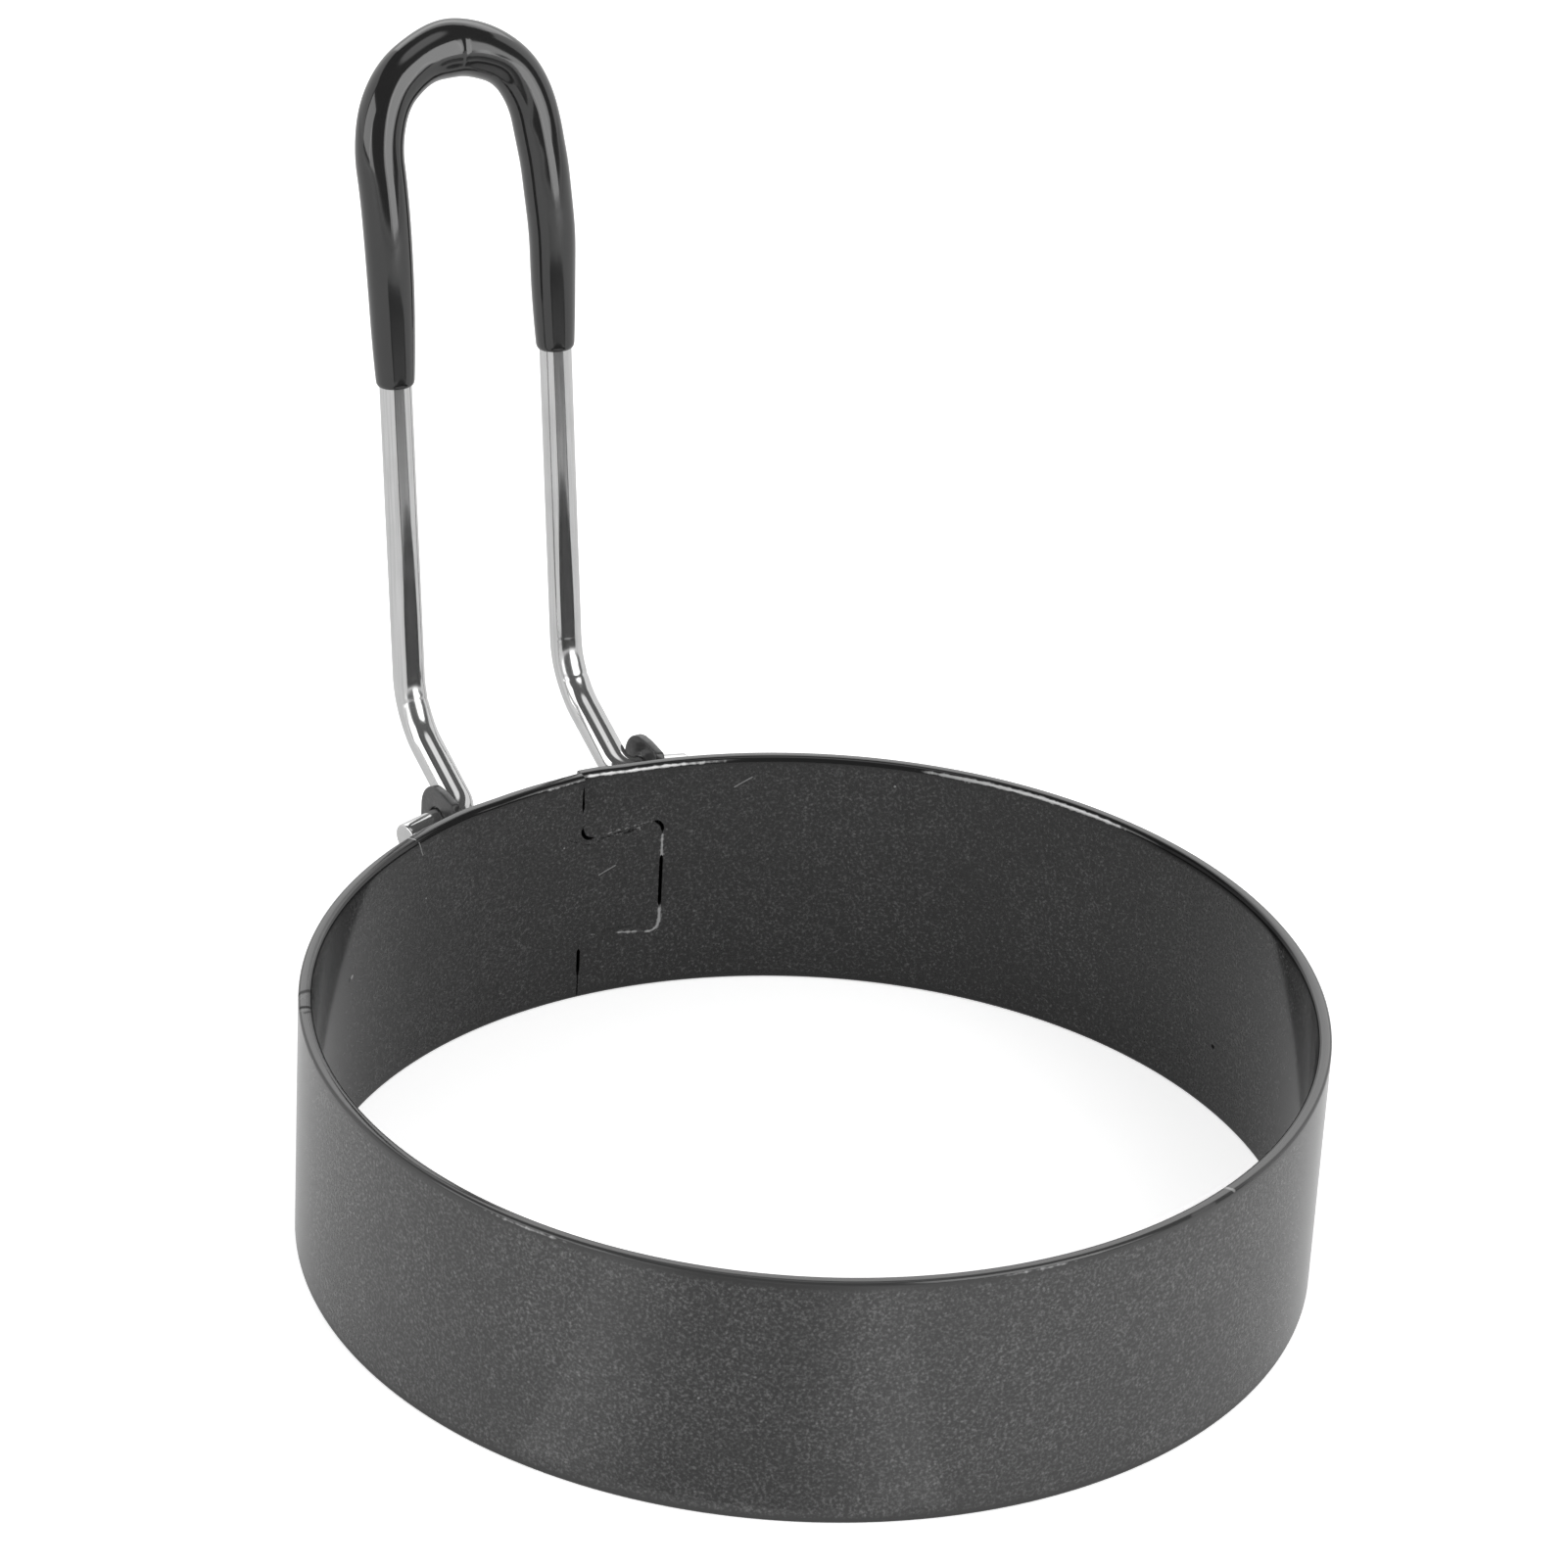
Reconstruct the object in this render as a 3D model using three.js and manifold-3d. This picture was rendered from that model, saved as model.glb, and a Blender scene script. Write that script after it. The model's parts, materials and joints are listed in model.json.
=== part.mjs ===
// Egg ring: a rolled band closed by a dovetail, with a cranked wire handle hinged to its back.
// Millimetres, +Z up. The band rests on z = 0, and the handle stands on its +Y side.
// The origin is the middle of the footprint, at the resting face.
import * as THREE from 'three';
import { mergeVertices } from 'three/addons/utils/BufferGeometryUtils.js';
import Module from 'manifold-3d';

const wasm = await Module();
wasm.setup();

const degrees = Math.PI / 180;

// Band: one strip of sheet
const ringDiameter = 90;
const bandHeight = 23.8;
const bandThickness = 1.1;

// Dovetail seam: the tongue of one strip end locks in the socket of the other
const seamGap = 0.25;
const seamShift = 2.3; // from the handle's middle plane to the tongue's root, along the band
const tongueLength = 8.3;
const tongueTipMargin = 5.85; // band left above and below the tongue's tip
const tongueFlare = 1; // how much the tip is wider than the root, on each edge
const tongueCornerRadius = 1;

// Handle wire
const wireDiameter = 3;
const legSpacing = 16.8; // between the legs' centrelines
const tipBendInside = 0.4; // inside radius where the wire turns out into the ears
const tipReach = 3.7; // how far the wire's ends stand out of the ears
const tipDroop = 6 * degrees; // short of a square bend
const lowerLegLength = 12; // from the pivot to the crank's corner
const lowerLegRise = 28.4 * degrees; // above level
const crankRadius = 7.8;
const upperLegLean = 7.4 * degrees; // out from upright
const straightLegLength = 34.9; // from the crank to where the wire starts to curve back
const backCurveRadius = 83;
const backCurveLength = 13.6; // up to the foot of the arch
const archRise = 9.6;

// Grip: vinyl on the upper legs and the arch
const gripWall = 0.45;
const gripGap = 0.12;
const bareLegLength = 28.3; // from the crank to the grip's lower end

// Hinge bracket: a strip of sheet bent to a U, welded to the band
const bracketSheet = 0.8;
const bracketHeight = 11;
const bracketBendInside = 0.4;
const weldGap = 0.15;
const pivotDrop = 3.3; // below the rim
const plateTopDrop = 3.8; // below the rim
const earSideGap = 0.2; // between the wire's bend and the ear
const holeClearance = 0.4; // round the wire
const plateClearance = 0.3; // between the wire and the bracket's plate
const earMarginOut = 1.25; // past the hole
const earMarginUp = 1.45; // past the hole
const earCornerRadius = 2.8;

// Facets
const ringSides = 180;
const wireSides = 16;
const holeSides = 24;
const bendSteps = 6;
const archSteps = 24;
const plateArcSteps = 16;
const earCornerSteps = 8;
const cutMargin = 2; // how far a cutting body runs past what it cuts

// Sizes that follow from the ones above
const ringRadius = ringDiameter / 2;
const wireRadius = wireDiameter / 2;
const legHalf = legSpacing / 2;
const tipBendRadius = wireRadius + tipBendInside;
const earInside = legHalf + tipBendRadius + earSideGap;
const earOutside = earInside + bracketSheet;
const earMiddle = (earInside + earOutside) / 2;
const plateInnerRadius = ringRadius + weldGap;
const plateOuterRadius = plateInnerRadius + bracketSheet;
const plateAtLeg = Math.sqrt(plateOuterRadius ** 2 - (legHalf - wireRadius) ** 2);
const pivotY = plateAtLeg + plateClearance + wireRadius;
const pivotZ = bandHeight - pivotDrop;
const holeRadius = wireRadius + holeClearance;
const earTop = pivotZ + holeRadius + earMarginUp;
const earEnd = pivotY + holeRadius + earMarginOut;
const bracketBottom = earTop - bracketHeight;
const gripBoreRadius = wireRadius + gripGap;
const gripRadius = gripBoreRadius + gripWall;

// Materials
const coating = { color: 0x3b3b3c, roughness: 0.45, metalness: 0.5 };
const bracketCoating = { color: 0x303031, roughness: 0.5, metalness: 0.4 };
const plating = { color: 0xdedfe0, roughness: 0.12, metalness: 1 };
const vinyl = { color: 0x121212, roughness: 0.25, metalness: 0 };

function makePiece(name, geometry, finish) {
  const piece = new THREE.Mesh(geometry, new THREE.MeshStandardMaterial(finish));
  piece.name = name;
  return piece;
}

function toSolid(geometry) {
  const bare = geometry.clone();
  bare.deleteAttribute('normal');
  bare.deleteAttribute('uv');
  const merged = mergeVertices(bare, 1e-5);
  return new wasm.Manifold(new wasm.Mesh({
    numProp: 3,
    vertProperties: new Float32Array(merged.attributes.position.array),
    triVerts: new Uint32Array(merged.index.array),
  }));
}

function toGeometry(solid) {
  const mesh = solid.getMesh();
  const geometry = new THREE.BufferGeometry();
  geometry.setAttribute('position', new THREE.BufferAttribute(mesh.vertProperties, 3));
  geometry.setIndex(new THREE.BufferAttribute(mesh.triVerts, 1));
  geometry.computeVertexNormals();
  return geometry;
}

// A polyline whose inner corners are rounded to a radius, as a list of points
function roundCorners(corners, radius) {
  const points = [corners[0]];
  for (let i = 1; i < corners.length - 1; i += 1) {
    const arriving = corners[i].clone().sub(corners[i - 1]).normalize();
    const leaving = corners[i + 1].clone().sub(corners[i]).normalize();
    const turn = arriving.angleTo(leaving);
    const side = Math.sign(arriving.cross(leaving));
    const start = corners[i].clone().addScaledVector(arriving, -radius * Math.tan(turn / 2));
    const toCentre = new THREE.Vector2(-arriving.y, arriving.x).multiplyScalar(side * radius);
    const centre = start.clone().add(toCentre);
    for (let step = 0; step <= bendSteps; step += 1) {
      points.push(start.clone().rotateAround(centre, (side * turn * step) / bendSteps));
    }
  }
  points.push(corners.at(-1));
  return points;
}

// The closed outline of a line with a width
function thickenLine(points, width) {
  const offsetBy = (distance) => points.map((point, i) => {
    const before = points[Math.max(i - 1, 0)];
    const after = points[Math.min(i + 1, points.length - 1)];
    const along = after.clone().sub(before).normalize();
    return point.clone().add(new THREE.Vector2(-along.y, along.x).multiplyScalar(distance));
  });
  return new THREE.Shape([...offsetBy(width / 2), ...offsetBy(-width / 2).reverse()]);
}

// Bends a flat extrusion round the band: x runs along the band, y up and depth towards the axis
function wrapRound(geometry, outerRadius) {
  const position = geometry.attributes.position;
  for (let i = 0; i < position.count; i += 1) {
    const angle = position.getX(i) / ringRadius;
    const radius = outerRadius - position.getZ(i);
    position.setXYZ(i, radius * Math.sin(angle), radius * Math.cos(angle), position.getY(i));
  }
  return geometry;
}

function makeRingBand() {
  const inner = ringRadius - bandThickness;
  const section = [
    new THREE.Vector2(inner, 0),
    new THREE.Vector2(ringRadius, 0),
    new THREE.Vector2(ringRadius, bandHeight),
    new THREE.Vector2(inner, bandHeight),
    new THREE.Vector2(inner, 0),
  ];
  const band = new THREE.LatheGeometry(section, ringSides).rotateX(Math.PI / 2);

  const root = seamShift;
  const tip = seamShift + tongueLength;
  const tipLow = tongueTipMargin;
  const tipHigh = bandHeight - tongueTipMargin;
  const seam = roundCorners([
    new THREE.Vector2(root, bandHeight + cutMargin),
    new THREE.Vector2(root, tipHigh - tongueFlare),
    new THREE.Vector2(tip, tipHigh),
    new THREE.Vector2(tip, tipLow),
    new THREE.Vector2(root, tipLow + tongueFlare),
    new THREE.Vector2(root, -cutMargin),
  ], tongueCornerRadius);
  const depth = bandThickness + 2 * cutMargin;
  const slit = new THREE.ExtrudeGeometry(thickenLine(seam, seamGap), { depth, bevelEnabled: false });
  const cutter = wrapRound(slit, ringRadius + cutMargin);
  return makePiece('ring_band', toGeometry(toSolid(band).subtract(toSolid(cutter))), coating);
}

// The bracket seen from above: its plate follows the band, and its ears point away from it
function bracketPlan() {
  const bendCentreX = earInside - bracketBendInside;
  const bendCentreRadius = plateOuterRadius + bracketBendInside;
  const bendCentreY = Math.sqrt(bendCentreRadius ** 2 - bendCentreX ** 2);
  const bendAngle = Math.atan2(bendCentreY, bendCentreX);
  const bendOutside = bracketBendInside + bracketSheet;
  const earPast = earEnd + cutMargin;
  const plan = new THREE.Shape();
  plan.moveTo(earOutside, earPast);
  plan.lineTo(earInside, earPast);
  plan.absarc(bendCentreX, bendCentreY, bracketBendInside, 0, bendAngle - Math.PI, true);
  plan.absarc(0, 0, plateOuterRadius, bendAngle, Math.PI - bendAngle, false);
  plan.absarc(-bendCentreX, bendCentreY, bracketBendInside, -bendAngle, -Math.PI, true);
  plan.lineTo(-earInside, earPast);
  plan.lineTo(-earOutside, earPast);
  plan.absarc(-bendCentreX, bendCentreY, bendOutside, -Math.PI, -bendAngle, false);
  plan.absarc(0, 0, plateInnerRadius, Math.PI - bendAngle, bendAngle, true);
  plan.absarc(bendCentreX, bendCentreY, bendOutside, bendAngle - Math.PI, 0, false);
  return plan;
}

// The bracket seen from its side: round corners on the ears' free ends
function bracketSide() {
  const cornerY = earEnd - earCornerRadius;
  const side = new THREE.Shape();
  side.moveTo(0, bracketBottom);
  side.absarc(cornerY, bracketBottom + earCornerRadius, earCornerRadius, -Math.PI / 2, 0, false);
  side.absarc(cornerY, earTop - earCornerRadius, earCornerRadius, 0, Math.PI / 2, false);
  side.lineTo(0, earTop);
  return side;
}

function makeHingeBracket() {
  const width = 2 * (earOutside + cutMargin);
  const upright = new THREE.ExtrudeGeometry(bracketPlan(), {
    depth: bracketHeight + 2 * cutMargin, bevelEnabled: false, curveSegments: plateArcSteps,
  }).translate(0, 0, bracketBottom - cutMargin);
  const across = new THREE.Matrix4().makeBasis(
    new THREE.Vector3(0, 1, 0),
    new THREE.Vector3(0, 0, 1),
    new THREE.Vector3(1, 0, 0),
  );
  const profile = new THREE.ExtrudeGeometry(bracketSide(), {
    depth: width, bevelEnabled: false, curveSegments: earCornerSteps,
  }).applyMatrix4(across).translate(-width / 2, 0, 0);

  const plateTop = bandHeight - plateTopDrop;
  const notchHeight = earTop - plateTop + cutMargin;
  const plateWidth = 2 * (earInside - bracketBendInside);
  const notch = new THREE.BoxGeometry(plateWidth, 2 * earEnd, notchHeight)
    .translate(0, earEnd, plateTop + notchHeight / 2);
  const holes = new THREE.CylinderGeometry(holeRadius, holeRadius, width, holeSides)
    .rotateZ(Math.PI / 2)
    .translate(0, pivotY, pivotZ);

  const solid = toSolid(upright).intersect(toSolid(profile))
    .subtract(toSolid(notch))
    .subtract(toSolid(holes));
  return makePiece('hinge_bracket', toGeometry(solid), bracketCoating);
}

// Side view of the handle. Distances run along the wire from the pivot.
const crankTurn = Math.PI / 2 - upperLegLean - lowerLegRise;
const crankStart = lowerLegLength - crankRadius * Math.tan(crankTurn / 2);
const crankEnd = crankStart + crankRadius * crankTurn;
const gripStart = crankEnd + bareLegLength;
const backCurveStart = crankEnd + straightLegLength;
const archFoot = backCurveStart + backCurveLength;

// A straight run or an arc in side view, from a start point and a heading above level
function runFrom(start, heading, length, curvature = 0) {
  const middle = heading + (curvature * length) / 2;
  const bend = (curvature * length) / 2;
  const chord = bend === 0 ? length : (length * Math.sin(bend)) / bend;
  return new THREE.Vector2(start.x + chord * Math.cos(middle), start.y + chord * Math.sin(middle));
}

// A point of the handle: sideways from its middle, and a distance along its side view
function handlePoint(sideways, distance) {
  const pivot = new THREE.Vector2(pivotY, pivotZ);
  const upright = lowerLegRise + crankTurn;
  let point = runFrom(pivot, lowerLegRise, Math.min(distance, crankStart));
  if (distance > crankStart) {
    const run = Math.min(distance, crankEnd) - crankStart;
    point = runFrom(point, lowerLegRise, run, 1 / crankRadius);
  }
  if (distance > crankEnd) {
    point = runFrom(point, upright, Math.min(distance, backCurveStart) - crankEnd);
  }
  if (distance > backCurveStart) {
    point = runFrom(point, upright, distance - backCurveStart, -1 / backCurveRadius);
  }
  return new THREE.Vector3(sideways, point.x, point.y);
}

function evenSteps(from, to, steps) {
  return Array.from({ length: steps + 1 }, (_, i) => from + ((to - from) * i) / steps);
}

// The hairpin laid flat, from one leg over the arch to the other, from a distance along the leg
function hairpin(start) {
  const stops = [
    ...evenSteps(crankStart, crankEnd, bendSteps),
    ...evenSteps(backCurveStart, archFoot, bendSteps),
  ];
  const leg = [start, ...stops.filter((stop) => stop > start)]
    .map((stop) => new THREE.Vector2(legHalf, stop));
  const arch = evenSteps(0, Math.PI, archSteps).slice(1, -1)
    .map((angle) => new THREE.Vector2(legHalf * Math.cos(angle), archFoot + archRise * Math.sin(angle)));
  const otherLeg = leg.map((point) => new THREE.Vector2(-point.x, point.y)).reverse();
  return [...leg, ...arch, ...otherLeg];
}

// A path through given stations, one for each step of a sweep
class StationPath extends THREE.Curve {
  constructor(stations) {
    super();
    this.stations = stations;
  }

  getUtoTmapping(u) {
    return u;
  }

  getPoint(t, target = new THREE.Vector3()) {
    const place = t * (this.stations.length - 1);
    const before = Math.min(Math.floor(place), this.stations.length - 2);
    return target.lerpVectors(this.stations[before], this.stations[before + 1], place - before);
  }
}

function sweep(section, flatPath) {
  const stations = flatPath.map((point) => handlePoint(point.x, point.y));
  return new THREE.ExtrudeGeometry(section, {
    steps: stations.length - 1,
    extrudePath: new StationPath(stations),
    curveSegments: wireSides / 2, // an arc is drawn with twice as many sides
  });
}

function makeHandleWire() {
  // Each end turns out and crosses the hinge axis inside its ear
  const slope = Math.tan(tipDroop);
  const end = earOutside + tipReach;
  const turnOut = roundCorners([
    new THREE.Vector2(end, -slope * (end - earMiddle)),
    new THREE.Vector2(legHalf, slope * (earMiddle - legHalf)),
    new THREE.Vector2(legHalf, crankStart),
  ], tipBendRadius).slice(0, -1);
  const otherEnd = turnOut.map((point) => new THREE.Vector2(-point.x, point.y)).reverse();
  const flatPath = [...turnOut, ...hairpin(crankStart), ...otherEnd];
  const section = new THREE.Shape().absarc(0, 0, wireRadius, 0, 2 * Math.PI, false);
  return makePiece('handle_wire', sweep(section, flatPath), plating);
}

function makeGripSleeve() {
  const section = new THREE.Shape().absarc(0, 0, gripRadius, 0, 2 * Math.PI, false);
  section.holes.push(new THREE.Path().absarc(0, 0, gripBoreRadius, 0, 2 * Math.PI, true));
  return makePiece('grip_sleeve', sweep(section, hairpin(gripStart)), vinyl);
}

const onRingAxis = new THREE.Group();
onRingAxis.add(makeRingBand(), makeHingeBracket(), makeHandleWire(), makeGripSleeve());

// The ring's axis sits behind the origin by half of what the handle reaches past the band
const footprint = new THREE.Box3().setFromObject(onRingAxis);
onRingAxis.position.y = -(footprint.min.y + footprint.max.y) / 2;

const eggRing = new THREE.Group();
eggRing.add(onRingAxis);

export default eggRing;
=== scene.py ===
"""Looks of an egg ring with a fold-over wire handle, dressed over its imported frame.

Metres, +Z up, in the frame's own axes: the ring stands on z = 0 and its handle on the +Y side.
"""

import json
import logging
import math
from dataclasses import dataclass, field
from enum import Enum
from typing import Any

import bpy
import numpy as np
from mathutils import Matrix, Vector


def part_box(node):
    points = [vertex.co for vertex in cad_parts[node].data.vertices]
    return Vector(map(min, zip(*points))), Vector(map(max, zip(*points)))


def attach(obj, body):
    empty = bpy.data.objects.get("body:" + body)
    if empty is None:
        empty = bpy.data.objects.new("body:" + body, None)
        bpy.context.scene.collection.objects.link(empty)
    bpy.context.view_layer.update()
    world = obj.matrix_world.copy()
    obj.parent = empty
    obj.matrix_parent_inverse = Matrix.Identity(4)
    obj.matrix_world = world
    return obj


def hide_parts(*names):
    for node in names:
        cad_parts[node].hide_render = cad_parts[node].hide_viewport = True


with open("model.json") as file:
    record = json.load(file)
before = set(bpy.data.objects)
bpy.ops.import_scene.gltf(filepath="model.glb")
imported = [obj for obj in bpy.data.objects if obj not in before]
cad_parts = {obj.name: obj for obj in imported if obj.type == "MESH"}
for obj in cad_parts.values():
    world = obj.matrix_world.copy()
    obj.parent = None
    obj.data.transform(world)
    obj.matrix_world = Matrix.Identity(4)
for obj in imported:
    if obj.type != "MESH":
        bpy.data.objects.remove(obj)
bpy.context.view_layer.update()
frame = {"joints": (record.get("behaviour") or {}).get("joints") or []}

Array = np.ndarray
Material = bpy.types.Material
Piece = bpy.types.Object
Socket = bpy.types.NodeSocket
Tree = bpy.types.NodeTree
Pair = tuple[float, float]
Triple = tuple[float, float, float]
# A bell curve: its height, its middle and its half-width
Bell = tuple[float, float, float]
# A plateau: its height, and the places where it starts, is full, fades and ends
Stretch = tuple[float, float, float, float, float]

MM = 0.001
FULL_TURN = 2 * np.pi
# A distance past the reach of any edge
FAR = 1.0

log = logging.getLogger("egg_ring")


class Node(str, Enum):
    """The frame's nodes that the pieces stand for."""

    BAND = "ring_band"
    BRACKET = "hinge_bracket"
    WIRE = "handle_wire"
    GRIP = "grip_sleeve"


class Body(str, Enum):
    """The frame's bodies that the pieces ride on."""

    RING = "ring"
    HANDLE = "handle"


class Slot(str, Enum):
    """The record's material slots."""

    BAND = "band_coating"
    BRACKET = "bracket_coating"
    WIRE = "wire_plating"
    GRIP = "grip_vinyl"


# Numbers on lines and curves


def smooth_step(low: float, high: float, value: Array) -> Array:
    """S-curve from 0 at low to 1 at high: 3 t^2 - 2 t^3 of the clipped share t."""
    share = np.clip((value - low) / (high - low), 0, 1)
    return share * share * (3 - 2 * share)


def plateau(start: float, full: float, fade: float, end: float, value: Array) -> Array:
    """Rises as an S-curve from 0 at start to 1 at full, and falls from 1 at fade to 0 at end."""
    return smooth_step(start, full, value) * (1 - smooth_step(fade, end, value))


def plateaus(stretches: tuple[Stretch, ...], value: Array) -> Array:
    """Sum of plateaus."""
    return sum(height * plateau(*places, value) for height, *places in stretches)


def bump(middle: float, width: float, value: Array) -> Array:
    """Bell curve exp(-((value - middle) / width)^2)."""
    return np.exp(-(((value - middle) / width) ** 2))


def bells(curves: tuple[Bell, ...], value: Array) -> Array:
    """Sum of bell curves, each times its height."""
    return sum(height * bump(middle, width, value) for height, middle, width in curves)


def edge_drop(distance: Array, radius: float | Array) -> Array:
    """How far a face has fallen at a distance from a rounded edge: a quarter circle.

    Args:
        distance: Distance from the edge, along the face.
        radius: The edge's radius.

    Returns:
        radius - sqrt(radius^2 - (radius - distance)^2), and 0 past the radius.
    """
    inside = np.clip(radius - distance, 0, radius)
    return radius - np.sqrt(radius**2 - inside**2)


def edge_samples(radius: float, steps: int) -> Array:
    """Distances from a rounded edge that share its quarter circle evenly: r (1 - cos t)."""
    return radius * (1 - np.cos(np.linspace(0, np.pi / 2, steps + 1)))


def round_angles(count: int) -> Array:
    """Angles of so many points evenly round a circle."""
    return np.linspace(0, FULL_TURN, count, endpoint=False)


def unit(angle: Array) -> Array:
    """Unit vectors (cos a, sin a) at angles, n by 2."""
    return np.stack([np.cos(angle), np.sin(angle)], axis=1)


def rounded_line(corners: Array, radius: float, arc_points: int = 24) -> Array:
    """A flat line through corners, with an arc in place of each inner corner.

    Where the line turns by t, the arc starts radius * tan(t / 2) before the corner. Its points are
    the start moved by radius * (normal at the start - normal on the arc), on the side it turns to.

    Args:
        corners: The corners, n by 2.
        radius: The arcs' radius.
        arc_points: Points on each arc.

    Returns:
        The line's points, m by 2.
    """
    runs = np.diff(corners, axis=0)
    headings = np.arctan2(runs[:, 1], runs[:, 0])
    turns = (np.diff(headings) + np.pi) % FULL_TURN - np.pi
    starts = corners[1:-1] - unit(headings)[:-1] * (radius * np.tan(np.abs(turns) / 2))[:, None]
    first = headings[:-1, None]
    heading = first + turns[:, None] * np.linspace(0, 1, arc_points)
    reach = radius * np.sign(turns)[:, None]
    across = starts[:, :1] + reach * (np.sin(heading) - np.sin(first))
    up = starts[:, 1:] + reach * (np.cos(first) - np.cos(heading))
    arcs = np.stack([across, up], axis=2).reshape(-1, 2)
    return np.vstack([corners[:1], arcs, corners[-1:]])


def line_lengths(line: Array) -> Array:
    """Distance along a line, from its start to each of its points."""
    return np.concatenate([[0.0], np.cumsum(np.linalg.norm(np.diff(line, axis=0), axis=1))])


def point_on(line: Array, distance: Array) -> Array:
    """The line's points at distances from its start, straight between its own points."""
    reached = line_lengths(line)
    return np.stack([np.interp(distance, reached, axis) for axis in line.T], axis=1)


def normal_on(line: Array, distance: Array, nudge: float = 0.02 * MM) -> Array:
    """Unit normals to the left of a flat line.

    Args:
        line: The line's points, n by 2.
        distance: Distances from its start.
        nudge: How far before and after a distance the line's direction is taken.

    Returns:
        The normals, one for each distance.
    """
    along = point_on(line, distance + nudge) - point_on(line, distance - nudge)
    along /= np.linalg.norm(along, axis=1)[:, None]
    return np.stack([-along[:, 1], along[:, 0]], axis=1)


# Meshes


def grid_of(x: Array, y: Array, z: Array | float) -> Array:
    """A grid of places from their three coordinates, rows by columns by 3."""
    return np.stack(np.broadcast_arrays(x, y, z), axis=2)


def grid_quads(rows: int, columns: int, start: int = 0, closed: bool = False) -> Array:
    """Corner numbers of a grid's faces, row by row.

    Args:
        rows: Points down the grid.
        columns: Points across the grid.
        start: Number of the grid's first point.
        closed: Whether the last column joins the first.

    Returns:
        Faces, n by 4.
    """
    row = np.arange(rows - 1)[:, None] * columns
    column = np.arange(columns if closed else columns - 1)
    below, beside = row + columns, (column + 1) % columns
    corners = [row + column, below + column, below + beside, row + beside]
    return start + np.stack(corners, axis=2).reshape(-1, 4)


def cap_faces(middle: int, ring: Array) -> Array:
    """Triangles from a middle point to each two neighbours on a closed ring of points."""
    return np.stack([np.full(len(ring), middle), ring, np.roll(ring, -1)], axis=1)


@dataclass
class Skin:
    """A mesh in the making: points, with faces of four or three corners.

    Attributes:
        points: Places of the vertices, n by 3.
        quads: Faces with four corners.
        triangles: Faces with three corners.
        corner_uv: Pattern place of each quad's corners, for pieces that follow a path.
    """

    points: Array
    quads: Array
    triangles: Array = field(default_factory=lambda: np.zeros((0, 3), dtype=int))
    corner_uv: Array | None = None

    @classmethod
    def of_grid(cls, grid: Array) -> "Skin":
        """An open sheet through a grid of places."""
        return cls(grid.reshape(-1, 3), grid_quads(*grid.shape[:2]))

    def volume(self) -> float:
        """Signed volume inside the faces, as a sum of corner products.

        Returns:
            The volume, below 0 where the faces point inwards.
        """
        halves = np.vstack([self.quads[:, [0, 1, 2]], self.quads[:, [0, 2, 3]], self.triangles])
        a, b, c = (self.points[halves[:, k]] for k in range(3))
        return float(np.einsum("ij,ij->i", a, np.cross(b, c)).sum() / 6)

    def turned_outwards(self) -> "Skin":
        """Turns the faces round if they point inwards.

        Returns:
            The skin with its faces pointing out of the volume.
        """
        if self.volume() >= 0:
            return self
        uv = None if self.corner_uv is None else self.corner_uv[:, ::-1]
        return Skin(self.points, self.quads[:, ::-1], self.triangles[:, ::-1], uv)

    def to_object(self, name: str) -> Piece:
        """Puts the skin into a new smooth-shaded object at the origin.

        Args:
            name: Name of the object and its mesh.

        Returns:
            The object, linked to the scene.
        """
        mesh = bpy.data.meshes.new(name)
        mesh.from_pydata(self.points.tolist(), [], self.quads.tolist() + self.triangles.tolist())
        mesh.polygons.foreach_set("use_smooth", np.ones(len(mesh.polygons), dtype=bool))
        if self.corner_uv is not None:
            uv = np.zeros((len(mesh.loops), 2))
            uv[: self.corner_uv.size // 2] = self.corner_uv.reshape(-1, 2)
            mesh.uv_layers.new(name="course").data.foreach_set("uv", uv.ravel())
        mesh.update()
        piece = bpy.data.objects.new(name, mesh)
        bpy.context.scene.collection.objects.link(piece)
        return piece


def welded(points: Array, quads: Array, grain: float = 0.001 * MM) -> Skin:
    """Joins points that lie on the same spot.

    Args:
        points: Places of the vertices.
        quads: Faces with four corners.
        grain: Distance under which two points are one.

    Returns:
        The joined skin.
    """
    spots = np.round(points / grain)
    _, kept, renamed = np.unique(spots, axis=0, return_index=True, return_inverse=True)
    return Skin(points[kept], renamed.reshape(-1)[quads])


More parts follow.
